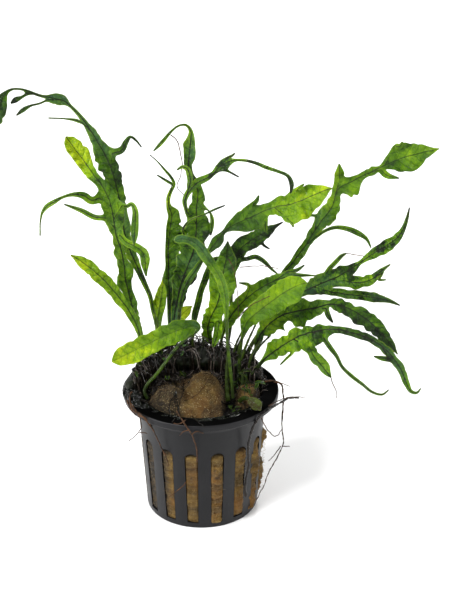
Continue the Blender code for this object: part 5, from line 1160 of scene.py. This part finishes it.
def rockwool_material():
    """Layered golden-brown wool with painted glints and gap shade; grey-brown where wet and shaded, near
    black in painted shade.
    """
    skin = Skin("wet_rockwool")
    flat = skin.made("ShaderNodeMapping", "Vector", {"Vector": skin.spot(), "Scale": (1.0, 1.0, 3.4)})
    layers = skin.noise(240.0, 6.0, 0.7, flat, 0.4)
    fibres = skin.noise(2400.0, 3.0, 0.5, flat, 2.0)
    dark = skin.field("dark")
    value = layers * 0.6 + skin.noise(130.0, 4.0) * 0.4
    colour = skin.ramp(value, WOOL_COLOURS)
    colour = skin.mixed(skin.noise(75.0, 3.0).ranged(0.48, 0.62, 0.0, 0.55), colour, AMBER_COLOUR)
    # Painted shade in the gaps between the fibres.
    colour = skin.mixed(fibres.ranged(0.36, 0.60, 0.60, 0.0), colour, WOOL_GAP_SHADE_COLOUR)
    # Grey-brown wool where it is wet, and on the lumps' flanks as painted shade.
    soaked_and_shaded = skin.mixed(value.ranged(0.42, 0.60), SOAKED_DARK, SOAKED_LIGHT)
    colour = skin.mixed(skin.field("soaked_and_shaded"), colour, soaked_and_shaded)
    # Painted shade where the mesh's dark field is set: hollows, behind the rhizome, by the pot's wall, in
    # pits and behind the wall between the slots.
    colour = skin.mixed(dark, colour, WOOL_SHADE_COLOUR)
    height = skin.made("ShaderNodeSeparateXYZ", "Z", {"Vector": skin.spot()})
    # Painted glints: bright specks on the fibres, none where shade is painted, and more towards the top.
    painted_glint = skin.cells(1500.0).ranged(0.26, 0.10) * (1.0 - dark)
    painted_glint = painted_glint * height.ranged(*PAINTED_GLINT_HEIGHTS, 0.15, 0.90)
    return skin.finished({
        "Base Color": skin.mixed(painted_glint, colour, PAINTED_GLINT_COLOUR),
        "Roughness": 0.62,
        "Specular IOR Level": 0.25,
        "Normal": skin.bumps(layers + fibres * 0.7 + painted_glint * 0.4, 1.0, 1.0)})


def bark_material(name, dark, light, scale, rough=0.6, gleam=0.5):
    """Root, stalk or rhizome skin, flecked and rough."""
    skin = Skin(name)
    cloud = skin.noise(scale, 6.0, 0.7)
    return skin.finished({
        "Base Color": skin.ramp(cloud, ((0.35, dark), (0.68, light))),
        "Roughness": rough,
        "Specular IOR Level": gleam,
        "Normal": skin.bumps(cloud, 0.8, 0.3)})


def plug_surface(x, y):
    """The height of the plug's top at a place, its torn lumps included."""
    height = PLUG_TOP
    for middle, half, rise, slope in PLUG_LUMPS:
        away_x = (x / MM - middle[0]) / half[0]
        away_y = (y / MM - middle[1]) / half[1]
        away = away_x * away_x + away_y * away_y
        if away < 1.0:
            lift = rise * MM * (1.0 - away) ** 0.5 + slope * (y - middle[1] * MM) * (1.0 - away)
            height = max(height, PLUG_TOP + lift)
    return height


def slot_bulge(angle):
    """How far the wool stands past the pot's wall at an angle, and how much it is in a slot."""
    turn = (angle - FIRST_SLOT) / math.tau * SLOT_COUNT
    place = round(turn)
    off = abs(turn - place) * math.tau / SLOT_COUNT * BODY_TOP_RADIUS
    bulge = PLUG_BULGES[place % SLOT_COUNT]
    reach = SLOT_HALF_WIDTH + (TORN_REACH if bulge > TORN_BULGE else 0.0)
    inside = 1.0 - float(step_between(reach - 0.4 * MM, reach, off))
    crown = max(0.0, 1.0 - (off / SLOT_HALF_WIDTH) ** 2)
    return bulge * (0.35 + 0.75 * crown), inside


def rough(point, scale, seed):
    """Clumpy noise of about -1 to 1, in three sizes."""
    spot = point / (scale * MM) + Vector((seed, 0.0, 0.0))
    return noise.noise(spot) + 0.5 * noise.noise(spot * 2.3) + 0.25 * noise.noise(spot * 5.1)


def wool_shades(spot):
    """How wet and shaded the wool is at a point of its top, and how much painted shade it has there."""
    x, y, z = spot
    height = z - POT_HEIGHT
    # Painted shade in the hollows, behind the rhizome and by the pot's wall.
    hollow = 1.0 - float(step_between(-4.0 * MM, -2.4 * MM, height))
    behind = float(step_between(4.0 * MM, 9.0 * MM, y))
    edge = 0.5 * float(step_between(19.0 * MM, 21.5 * MM, math.hypot(x, y)))
    # Darker wool on the left, on the right of the central lump and in patches: wet wool, and painted shade on
    # the lumps' flanks.
    left = 1.0 - float(step_between(-8.5 * MM, -3.0 * MM, x))
    far_right = 0.6 * step_between(12.5 * MM, 14.5 * MM, x)
    right = float(step_between(5.5 * MM, 8.0 * MM, x) * (1.0 - far_right))
    patch = float(step_between(-0.05, 0.45, rough(spot, 6.0, 21.0)))
    return max(0.9 * left, 0.9 * right, 0.75 * patch, 0.35), min(1.0, max(hollow, behind, edge))


def plug():
    """The rockwool plug: layered wool that fills the pot, swells from the slots and stands in lumps."""
    foot = SLOT_BOTTOM - 0.6 * MM
    spring = SLOT_TOP - 2.4 * MM
    vertices = []
    shades = []
    angles = [math.tau * i / PLUG_COLUMNS for i in range(PLUG_COLUMNS)]
    for row in range(PLUG_SIDE_ROWS + 1):
        height = PLUG_FOOT + (POT_HEIGHT - 9.0 * MM) * row / PLUG_SIDE_ROWS
        in_slot = float(step_between(foot, foot + 0.8 * MM, height)
                        * (1.0 - step_between(spring - 0.2 * MM, spring + 1.6 * MM, height)))
        for angle in angles:
            bulge, inside = slot_bulge(angle)
            inner = wall_radius(height) - WALL - 0.3 * MM
            spot = around(inner, angle, height)
            swell = bulge * (0.6 + 0.5 * math.sin(height / (3.1 * MM) + round(angle * 7.0)))
            torn = 2.2 if inside > 0.0 and bulge > 0.8 else 1.0
            layer = 0.50 * torn * rough(Vector((spot.x * 0.5, spot.y * 0.5, spot.z * 1.6)), 2.2, 3.0)
            outer = wall_radius(height) + (swell + layer - 0.35) * MM
            radius = inner + (outer - inner) * inside * in_slot
            vertices.append(around(radius, angle, height))
            turn = round((angle - FIRST_SLOT) / math.tau * SLOT_COUNT) % SLOT_COUNT
            # Darker wool in bands and on the left, and painted shade in pits and behind the wall between the
            # slots.
            band = float(step_between(-0.1, 0.5, rough(Vector((turn * 0.02, 0.0, height)), 5.0, 4.0)))
            pit = float(step_between(0.45, 0.85, rough(spot, 1.9, 31.0)))
            left = float(step_between(-9.0 * MM, -13.0 * MM, spot.x))
            shades.append((max(0.6 * band, left), max(0.7 * pit, 1.0 - in_slot)))
    rim = BODY_TOP_RADIUS - WALL - 0.9 * MM
    for ring in range(PLUG_RINGS):
        radius = rim * (1.0 - ring / PLUG_RINGS)
        for angle in angles:
            spot = around(radius, angle, 0.0)
            tufts = (0.70 * rough(spot, 4.2, 9.0) + 0.42 * rough(spot, 1.3, 5.0)
                     + 0.20 * rough(spot, 0.5, 12.0))
            height = POT_HEIGHT + plug_surface(spot.x, spot.y) + tufts * MM
            vertices.append(Vector((spot.x, spot.y, height)))
            shades.append(wool_shades(vertices[-1]))
    faces = grid_faces(len(vertices) // PLUG_COLUMNS, PLUG_COLUMNS)
    bottom = len(vertices)
    last = bottom - PLUG_COLUMNS
    vertices.append(Vector((0.0, 0.0, PLUG_FOOT)))
    vertices.append(Vector((0.0, 0.0, POT_HEIGHT + plug_surface(0.0, 0.0))))
    shades += [(0.0, 1.0), wool_shades(vertices[-1])]
    for i in range(PLUG_COLUMNS):
        j = (i + 1) % PLUG_COLUMNS
        faces.append((bottom, j, i))
        faces.append((bottom + 1, last + i, last + j))
    soaked_and_shaded, dark = zip(*shades)
    item = mesh_object("wool_plug", vertices, faces, rockwool_material(), {"soaked_and_shaded": soaked_and_shaded, "dark": dark})
    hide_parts("rockwool_plug")
    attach(item, "root")


def eased(profile, radii, steps):
    """The profile with each corner that has a radius turned into a short curve."""
    points = []
    for i, (corner, radius) in enumerate(zip(profile, radii)):
        corner = np.array(corner)
        if radius == 0.0:
            points.append(corner)
            continue
        start = corner + unit(np.array(profile[i - 1]) - corner) * radius
        end = corner + unit(np.array(profile[i + 1]) - corner) * radius
        for step in range(steps + 1):
            t = step / steps
            points.append(start * (1 - t) ** 2 + corner * 2 * t * (1 - t) + end * t * t)
    return points


def from_bmesh(name, bm):
    """The mesh of a finished bmesh, its faces turned outwards."""
    bmesh.ops.recalc_face_normals(bm, faces=bm.faces)
    mesh = bpy.data.meshes.new(name)
    bm.to_mesh(mesh)
    bm.free()
    return mesh


def turned_pot():
    """The pot's wall, floor, ridge and rolled rim as one turned mesh."""
    lip = POT_HEIGHT - LIP_DROP
    under_rim = POT_HEIGHT - RIM_THICKNESS
    ridge = POT_HEIGHT - RIDGE_DROP
    ridge_foot = ridge - RIDGE_HEIGHT
    inner_top = BODY_TOP_RADIUS - WALL
    profile = [
        (0.2 * MM, FLOOR), (wall_radius(FLOOR) - WALL, FLOOR), (inner_top, POT_HEIGHT),
        (RIM_RADIUS, POT_HEIGHT), (RIM_RADIUS, lip), (RIM_RADIUS - LIP_THICKNESS, lip),
        (RIM_RADIUS - LIP_THICKNESS, under_rim), (BODY_TOP_RADIUS + RIDGE_STAND, under_rim),
        (wall_radius(ridge) + RIDGE_STAND, ridge), (wall_radius(ridge_foot), ridge_foot),
        (BODY_BASE_RADIUS, 0.0), (0.2 * MM, 0.0)]
    bm = bmesh.new()
    loops = []
    for radius, height in eased(profile, [radius * MM for radius in POT_EASES], 5):
        loops.append([bm.verts.new(around(radius, math.tau * i / POT_STEPS, height))
                      for i in range(POT_STEPS)])
    for low, high in zip(loops, loops[1:] + loops[:1]):
        for i in range(POT_STEPS):
            j = (i + 1) % POT_STEPS
            bm.faces.new((low[i], low[j], high[j], high[i]))
    return from_bmesh("pot", bm)


def slot_prism(angle):
    """A prism through the wall with the slot's outline, round at the top."""
    half_top = SLOT_TOP_WIDTH / 2
    spring = SLOT_TOP - half_top
    outline = [(-SLOT_BOTTOM_WIDTH / 2, SLOT_BOTTOM), (SLOT_BOTTOM_WIDTH / 2, SLOT_BOTTOM)]
    for step in range(17):
        turn = math.pi * step / 16
        outline.append((half_top * math.cos(turn), spring + half_top * math.sin(turn)))
    bm = bmesh.new()
    loops = [[bm.verts.new(Matrix.Rotation(angle, 3, "Z") @ Vector((x, -radius, z))) for x, z in outline]
             for radius in (BODY_BASE_RADIUS - 4 * WALL, BODY_TOP_RADIUS + 4 * WALL)]
    bm.faces.new(loops[0])
    bm.faces.new(loops[1])
    for i in range(len(outline)):
        j = (i + 1) % len(outline)
        bm.faces.new((loops[0][i], loops[0][j], loops[1][j], loops[1][i]))
    return from_bmesh("slot", bm)


def drain(angle):
    """A drain hole's cylinder through the floor."""
    bm = bmesh.new()
    bmesh.ops.create_cone(bm, cap_ends=True, segments=32, radius1=DRAIN_RADIUS, radius2=DRAIN_RADIUS,
                          depth=4 * FLOOR)
    bmesh.ops.translate(bm, verts=bm.verts, vec=around(DRAIN_RING, angle, FLOOR / 2))
    return from_bmesh("drain", bm)


def pot(material, shaded_rim_material):
    """The net pot with its slots and drain holes cut, its edges eased and its rim rolled over."""
    item = placed("pot_shell", turned_pot())
    tools = bpy.data.collections.new("pot_tools")
    bpy.context.scene.collection.children.link(tools)
    meshes = [slot_prism(FIRST_SLOT + math.tau * i / SLOT_COUNT) for i in range(SLOT_COUNT)]
    meshes += [drain(math.tau * i / DRAIN_HOLES) for i in range(DRAIN_HOLES)]
    for mesh in meshes:
        tools.objects.link(bpy.data.objects.new("pot_tool", mesh))
    cut = item.modifiers.new("Openings", "BOOLEAN")
    cut.operand_type = "COLLECTION"
    cut.collection = tools
    cut.solver = "EXACT"
    finished = bpy.data.meshes.new_from_object(item.evaluated_get(bpy.context.evaluated_depsgraph_get()))
    item.modifiers.clear()
    item.data = finished
    for tool in list(tools.objects):
        bpy.data.objects.remove(tool, do_unlink=True)
    bpy.data.collections.remove(tools)
    finished.materials.clear()
    finished.materials.append(material)
    finished.materials.append(shaded_rim_material)
    # Faces inside the wall and on the rim's top take a darker copy of the plastic with no reflection: painted
    # shade.
    for polygon in finished.polygons:
        middle = polygon.center
        inside = math.hypot(middle.x, middle.y) < wall_radius(middle.z) - 0.6 * WALL
        polygon.material_index = 1 if inside or middle.z > POT_HEIGHT - 0.15 * MM else 0
    finished.shade_smooth()
    finished.set_sharp_from_angle(angle=math.radians(35))
    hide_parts("net_pot")
    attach(item, "root")


def rhizome_stations():
    return [(right * MM, back * MM, POT_HEIGHT + up * MM, radius * MM)
            for right, back, up, radius in RHIZOME]


def left_end(x):
    """0 along the rhizome and 1 at its left end, where it is slimmer and its roots lie flatter."""
    return float(step_between(-8.0 * MM, -16.0 * MM, x))


def rhizome(material):
    """The creeping stem: a knobbly body with dark scales."""
    rows, _ = through(rhizome_stations(), RHIZOME_SPACING)
    points = rows[:, :3]
    tangents = unit(np.gradient(points, axis=0))
    vertices = []
    for i, (point, tangent, row) in enumerate(zip(points, tangents, rows)):
        across = unit(np.cross(tangent, (0.0, 0.0, 1.0)))
        other = np.cross(tangent, across)
        cap = min(i, len(points) - 1 - i) * RHIZOME_SPACING
        round_end = min(1.0, (cap / (row[3] * 0.9)) ** 0.5 + 0.05)
        slim = 0.94 - 0.16 * left_end(point[0])
        for k in range(RHIZOME_SIDES):
            angle = math.tau * k / RHIZOME_SIDES
            ray = math.cos(angle) * across + math.sin(angle) * other
            lumps = 1.0 + 0.16 * rough(Vector(point + ray * row[3]), 2.4, 2.0)
            vertices.append(point + ray * row[3] * lumps * round_end * slim)
    faces = grid_faces(len(points), RHIZOME_SIDES)
    last = len(vertices) - RHIZOME_SIDES
    faces.append(tuple(reversed(range(RHIZOME_SIDES))))
    faces.append(tuple(last + k for k in range(RHIZOME_SIDES)))
    item = mesh_object("creeping_stem", vertices, faces, material)
    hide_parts("rhizome")
    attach(item, "root")


def ground_height(x, y):
    """The height of what lies inside the pot at a place: the plug or the rhizome."""
    height = POT_HEIGHT + plug_surface(x, y)
    if math.hypot(x, y) > BODY_TOP_RADIUS - WALL:
        height = POT_HEIGHT
    for station in RHIZOME_ROWS[::3]:
        away = math.hypot(x - station[0], y - station[1])
        if away < station[3]:
            height = max(height, station[2] + math.sqrt(station[3] ** 2 - away * away))
    return height


def lying_root(rng, start, heading, length, radius, lift):
    """A fine root that wanders over the plug from a place, rising and dipping as it goes."""
    stations = []
    x, y = start
    steps = max(5, round(length / ROOT_STEP))
    phase = rng.uniform(0.0, math.tau)
    curl = rng.uniform(-0.18, 0.18)
    for i in range(steps):
        share = i / (steps - 1)
        height = ground_height(x, y) + lift * MM * (0.25 + abs(math.sin(phase + share * 6.0)))
        if math.hypot(x, y) > RIM_INNER_RADIUS:
            height = max(height, POT_HEIGHT + 0.3 * MM)
        stations.append((x, y, height, radius * (1.0 - 0.45 * share)))
        heading += curl + rng.uniform(-0.35, 0.35)
        x += ROOT_STEP * math.cos(heading)
        y += ROOT_STEP * math.sin(heading)
        if math.hypot(x, y) > ROOT_LIMIT:
            break
    if len(stations) < 4:
        return []
    rows, _ = through(stations, ROOT_SPACING)
    return [(rows[:, :3], np.maximum(rows[:, 3], 0.03 * MM))]


def arching_root(rng, start, heading, length, radius, rise):
    """A wiry root that springs up from a place, arches over and comes down again."""
    points = []
    turn = rng.uniform(-1.2, 1.2)
    for share in np.linspace(0.0, 1.0, 9):
        aim = heading + turn * share
        away = length * share
        height = start[2] + rise * math.sin(math.pi * min(1.0, share * 1.15)) * (1.0 - 0.25 * share)
        wobble = 0.5 * MM * rough(Vector((share * 0.01, length, radius * 9.0)), 1.0, heading)
        points.append((start[0] + away * math.cos(aim) + wobble, start[1] + away * math.sin(aim) - wobble,
                       height, radius * (1.0 - 0.35 * share)))
    rows, _ = through(points, ROOT_SPACING)
    return rows[:, :3], rows[:, 3]


def beside(rng, row, reach):
    """A place beside a row of the rhizome, at a share of its radius within a range."""
    angle = rng.uniform(0.0, math.tau)
    away = row[3] * rng.uniform(*reach)
    return row[0] + away * math.cos(angle), row[1] + away * math.sin(angle)


def lying_roots(rng, count, rows, reach, length, radius, lift):
    """Roots that lie round the first rows of the rhizome. The last lift is taken off at its left end."""
    paths = []
    for _ in range(count):
        row = RHIZOME_ROWS[rng.randrange(rows)]
        start = beside(rng, row, reach)
        paths += lying_root(rng, start, rng.uniform(0.0, math.tau), rng.uniform(*length) * MM,
                            rng.uniform(*radius) * MM,
                            rng.uniform(lift[0], lift[1] - lift[2] * left_end(row[0])))
    return paths


def root_mat(dark, pale):
    """The tangle of dark wiry roots over the rhizome, and single wires draped across the wool."""
    rng = random.Random(MAT_SEED)
    paths = lying_roots(rng, LYING_ROOTS, len(RHIZOME_ROWS), (0.0, 1.3), (6.0, 18.0), (0.14, 0.28),
                        (0.1, 2.2, 1.4))
    for _ in range(ARCHING_ROOTS):
        row = RHIZOME_ROWS[rng.randrange(6, len(RHIZOME_ROWS))]
        x, y = beside(rng, row, (0.0, 1.2))
        start = (x, y, ground_height(x, y) - 0.4 * MM)
        points, radii = arching_root(rng, start, rng.uniform(0.0, math.tau), rng.uniform(6.0, 14.0) * MM,
                                     rng.uniform(0.15, 0.25) * MM, rng.uniform(1.5, 6.5) * MM)
        if np.hypot(points[:, 0], points[:, 1]).max() < 24.0 * MM:
            paths.append((points, radii))
    for _ in range(FRONT_ROOTS):
        row = RHIZOME_ROWS[rng.randrange(len(RHIZOME_ROWS))]
        start = (row[0], row[1] - row[3] * 0.7)
        paths += lying_root(rng, start, -math.pi / 2 + rng.uniform(-0.7, 0.7),
                            rng.uniform(10.0, 26.0) * MM, rng.uniform(0.10, 0.17) * MM,
                            rng.uniform(0.0, 0.7))
    paths += lying_roots(rng, LEFT_END_ROOTS, 9, (0.2, 1.1), (5.0, 12.0), (0.14, 0.26), (0.1, 0.9, 0.0))
    # Every fourth root is pale grey-brown: partly pale roots, partly a painted highlight on lit wires.
    tubes("root_mat", [path for i, path in enumerate(paths) if i % 4], 5, dark)
    tubes("pale_highlit_roots", paths[::4], 5, pale)


def wool_fibres(material):
    """Loose mineral fibres that stand out of the plug's top and of the slots."""
    rng = random.Random(FIBRE_SEED)
    paths = []
    while len(paths) < TOP_FIBRES:
        angle = rng.uniform(0.0, math.tau)
        radius = 20.0 * MM * math.sqrt(rng.random())
        x, y = radius * math.sin(angle), -radius * math.cos(angle)
        start = Vector((x, y, POT_HEIGHT + plug_surface(x, y)))
        if wool_shades(start)[1] < 0.5:
            paths.append(fibre(rng, start, Vector((0.0, 0.0, 1.0))))
    for _ in range(SLOT_FIBRES):
        slot = rng.randrange(SLOT_COUNT)
        angle = FIRST_SLOT + math.tau * slot / SLOT_COUNT + rng.uniform(-0.065, 0.065)
        height = rng.uniform(SLOT_BOTTOM + 1.6 * MM, SLOT_TOP - 3.8 * MM)
        start = around(wall_radius(height) + (slot_bulge(angle)[0] - 0.35) * MM, angle, height)
        paths.append(fibre(rng, start, around(1.0, angle, 0.0)))
    tubes("wool_fibres", paths, 3, material)


def fibre(rng, start, outward):
    """One short curved fibre that leaves the wool at a low angle."""
    aim = Vector((rng.gauss(0.0, 1.0), rng.gauss(0.0, 1.0), rng.gauss(0.0, 0.6))).normalized()
    aim = (aim + outward * rng.uniform(0.0, 0.7)).normalized()
    bend = Vector((rng.gauss(0.0, 1.0), rng.gauss(0.0, 1.0), rng.gauss(0.0, 1.0))) * 0.28
    length = rng.uniform(0.4, 1.5) * MM
    points = [start + (aim * share + bend * share * share - outward * 0.3 * share * share) * length
              for share in (0.0, 0.25, 0.5, 0.75, 1.0)]
    return points, [rng.uniform(0.018, 0.034) * MM] * len(points)


def hanging_roots(material, dark):
    """The long single roots, each in its own solid's place."""
    for name, route in ROOTS.items():
        points = wandered(laid_out(route), 420.0, 0.25)
        share = np.linspace(0.0, 1.0, len(points))
        first, last = ROOT_RADII[name]
        radii = (first + (last - first) * share) * swollen(points, 900.0, 0.65) * MM
        item = tubes("fine_" + name, [(points, radii)], 10, dark if first > 0.35 else material)
        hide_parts(name)


def old_stalks(name, routes, radius, material):
    """Bare stalks left on the rhizome by old fronds."""
    paths = []
    for route in routes:
        points = laid_out(route)
        share = np.linspace(0.0, 1.0, len(points))
        paths.append((points, radius * (1.15 - 0.35 * share) * swollen(points, 600.0, 0.3)))
    tubes(name, paths, 12, material)


def rim_growth(material):
    """A wet black film of old roots on the flange: knobbly on the left, thin along the front."""
    points = []
    for i in range(GROWTH_COLUMNS + 1):
        turn = GROWTH_FROM + (GROWTH_TO - GROWTH_FROM) * i / GROWTH_COLUMNS
        left = 1.0 - float(step_between(-66.0, -46.0, turn))
        ends = float(step_between(GROWTH_FROM, GROWTH_FROM + 12.0, turn)
                     * (1.0 - step_between(GROWTH_TO - 14.0, GROWTH_TO, turn)))
        for k in range(GROWTH_RINGS + 1):
            radius = GROWTH_INNER_RADIUS + (2.4 + 3.8 * left) * k / GROWTH_RINGS
            spot = around(radius * MM, math.radians(turn), POT_HEIGHT)
            knob = 0.30 + rough(spot, 1.9, 41.0) + 0.5 * rough(spot, 0.7, 17.0)
            inside = max(0.0, math.sin(math.pi * k / GROWTH_RINGS)) ** 0.5 * ends
            spot.z += (max((0.45 + 1.75 * left) * knob, -0.2) * inside - 0.25) * MM
            points.append(spot)
    grid = grid_faces(GROWTH_COLUMNS + 1, GROWTH_RINGS + 1, closed=False)
    quads = [quad[:1] + quad[:0:-1] for quad in grid]
    sheet("rim_growth", points, quads, 0.25 * MM, {}, material)


def draped_roots(name, routes, material):
    """Roots laid on the surfaces that the eye sees, along their routes."""
    trees = []
    for item in ("wool_plug", "pot_shell", "creeping_stem", "rim_growth"):
        mesh = bpy.data.objects[item].data
        trees.append(bvhtree.BVHTree.FromPolygons([vertex.co for vertex in mesh.vertices],
                                                  [tuple(polygon.vertices) for polygon in mesh.polygons]))
    start = eye()
    paths = []
    for radius, route in routes:
        rows, _ = through([(*place, 0.0) for place in route], 0.5)
        points = []
        for right, up, _ in rows:
            aim = (seen(right, up, 0.0) - start).normalized()
            hits = [hit for hit in (tree.ray_cast(start, aim) for tree in trees) if hit[0]]
            if hits:
                points.append(min(hits, key=lambda hit: hit[3])[0] - aim * radius * MM)
        points = np.array(points)
        for _ in range(3):
            points[1:-1] = (points[:-2] + points[1:-1] * 2 + points[2:]) / 4
        paths.append((wandered(points, 640.0, 0.22), radius * swollen(points, 900.0, 0.4) * MM))
    tubes(name, paths, 8, material)


def fine_threads(material):
    """The thin side roots and loose threads round the pot and among the fronds."""
    paths = []
    for route in THREADS:
        points = laid_out(route)
        share = np.linspace(0.0, 1.0, len(points))
        paths.append((wandered(points, 520.0, 0.22), (1.0 - 0.3 * share) * THREAD_RADIUS * MM))
    tubes("fine_threads", paths, 6, material)


def leaflet(rng, foot, heading, lean, length, width):
    """A small curled leaf as rows of points, from its foot to its tip."""
    out = Vector((math.cos(heading), math.sin(heading), 0.0))
    side = Vector((-out.y, out.x, 0.0))
    bend = rng.uniform(0.2, 1.1)
    cup = rng.uniform(0.1, 0.45)
    rows = []
    for i in range(LEAFLET_ROWS):
        share = i / (LEAFLET_ROWS - 1)
        rise = lean - bend * share
        spot = foot + length * share * (out * math.cos(rise) + Vector((0.0, 0.0, math.sin(rise))))
        half = width * math.sin(math.pi * min(0.97, 0.08 + 0.9 * share)) ** 0.8
        wave = 0.12 * width * math.sin(share * 9.0 + heading)
        rows.append([spot + side * half * k / 2 + Vector((0.0, 0.0, cup * half * abs(k / 2) + wave * k / 2))
                     for k in range(-2, 3)])
    return rows


def young_leaves(material):
    """Small mossy leaves crowded on the rhizome and on the wool's right side."""
    rng = random.Random(LEAF_SEED)
    points = []
    quads = []
    fields = {label: [] for label in LEAF_FIELDS}
    for middle, spread, count, tone, size in YOUNG_LEAVES:
        for _ in range(count):
            x = (middle[0] + rng.gauss(0.0, spread)) * MM
            y = (middle[1] + rng.gauss(0.0, spread)) * MM
            foot = Vector((x, y, ground_height(x, y) + rng.uniform(-0.3, 0.8) * MM))
            length = size * rng.uniform(0.6, 1.3) * MM
            rows = leaflet(rng, foot, rng.uniform(0.0, math.tau), rng.uniform(0.2, 1.4), length,
                           length * rng.uniform(0.16, 0.30))
            shade = tone + rng.uniform(-0.15, 0.15)
            quads += grid_faces(LEAFLET_ROWS, len(rows[0]), closed=False, first=len(points))
            for i, row in enumerate(rows):
                share = i / (LEAFLET_ROWS - 1)
                for k, point in enumerate(row):
                    off = abs(k - 2)
                    values = (shade, off * 0.6, length / MM * i / (LEAFLET_ROWS - 1), off * 0.5,
                              (2 - off) * 0.4, 0.0, 0.5, 0.4, share)
                    for label, value in zip(fields, values):
                        fields[label].append(value)
                    points.append(tuple(point))
    sheet("young_leaves", points, quads, 0.12 * MM, fields, material)


def backdrop():
    """A plain pale floor that curves up far behind the plant."""
    half = 2.5
    profile = [(-3.0, 0.0), (2.2, 0.0), (2.6, 0.08), (2.9, 0.35), (3.0, 0.8), (3.0, 3.0)]
    vertices = [(side * half, y, z) for y, z in profile for side in (-1, 1)]
    faces = [(2 * i, 2 * i + 1, 2 * i + 3, 2 * i + 2) for i in range(len(profile) - 1)]
    material = Skin("studio_floor").finished({
        "Base Color": (0.93, 0.93, 0.93), "Roughness": 0.9, "Specular IOR Level": 0.1})
    mesh_object("floor", vertices, faces, material)


def area_light(name, place, size, power):
    """A round light that shines on the middle of the plant."""
    light = bpy.data.lights.new(name, "AREA")
    light.shape = "DISK"
    light.size = size
    light.energy = power
    item = placed(name, light)
    item.location = place
    item.rotation_euler = (Vector(PLANT_MIDDLE) - Vector(place)).to_track_quat("-Z", "Y").to_euler()


def sun(name, direction, strength, spread):
    """An even light from a direction, given as where it comes from."""
    light = bpy.data.lights.new(name, "SUN")
    light.energy = strength
    light.angle = math.radians(spread)
    placed(name, light).rotation_euler = Vector(direction).to_track_quat("Z", "Y").to_euler()


def studio():
    """White light from all round, a broad soft key from the upper left and small lights for gleam."""
    world = bpy.data.worlds.new("studio")
    world.use_nodes = True
    world.node_tree.nodes["Background"].inputs["Color"].default_value = (1.0, 1.0, 1.0, 1.0)
    world.node_tree.nodes["Background"].inputs["Strength"].default_value = 0.54
    bpy.context.scene.world = world
    bpy.context.scene.view_settings.view_transform = "Standard"
    sun("key", (-0.55, -0.62, 1.0), 2.25, 16.0)
    area_light("left", (-0.62, -0.28, 0.30), 0.10, 3.2)
    area_light("right", (0.60, -0.35, 0.42), 0.08, 1.8)
    area_light("rim", (0.15, 0.60, 0.60), 0.14, 3.0)


def camera():
    """The eye that the photograph was taken from."""
    data = bpy.data.cameras.new("camera")
    data.lens = LENS
    data.sensor_width = 36.0
    data.clip_start = 0.01
    item = placed("camera", data)
    item.location = eye()
    item.rotation_euler = (math.pi / 2 - EYE_PITCH, 0.0, 0.0)
    bpy.context.scene.camera = item


RHIZOME_ROWS = through(rhizome_stations(), 1.0 * MM)[0]

camera()
studio()
backdrop()
bark = {name: bark_material(name, *look) for name, look in BARKS.items()}
leaf = leaf_material("fern_blade")
rim_leaf = leaf_material("rim_leaf", 0.45)
for frond_name, design in FRONDS.items():
    frond(frond_name, design, rim_leaf if frond_name == "leaf_over_rim" else leaf)
young_leaves(leaf)
plug()
old_stalks("old_stalks", OLD_STALKS, OLD_STALK_RADIUS, bark["stalk_skin"])
old_stalks("mossy_stalks", MOSSY_STALKS, MOSSY_RADIUS, bark["moss_skin"])
rhizome(bark["rhizome_bark"])
root_mat(bark["mat_bark"], bark["pale_highlit_bark"])
wool_fibres(bark["wool_fibre"])
hanging_roots(bark["root_bark"], bark["mat_bark"])
fine_threads(bark["root_bark"])
# The second plastic is the darker copy without reflection, for painted shade on the rim's top and inside the
# pot.
pot(plastic_material("wet_black_plastic", (0.004, 0.004, 0.005), (0.007, 0.007, 0.008), 0.24),
    plastic_material("shaded_black_rim", (0.001, 0.001, 0.001), (0.003, 0.003, 0.003), 0.0))
rim_growth(bark["rim_growth"])
draped_roots("wool_roots", WOOL_ROOTS, bark["mat_bark"])
draped_roots("rim_roots", RIM_ROOTS, bark["root_bark"])
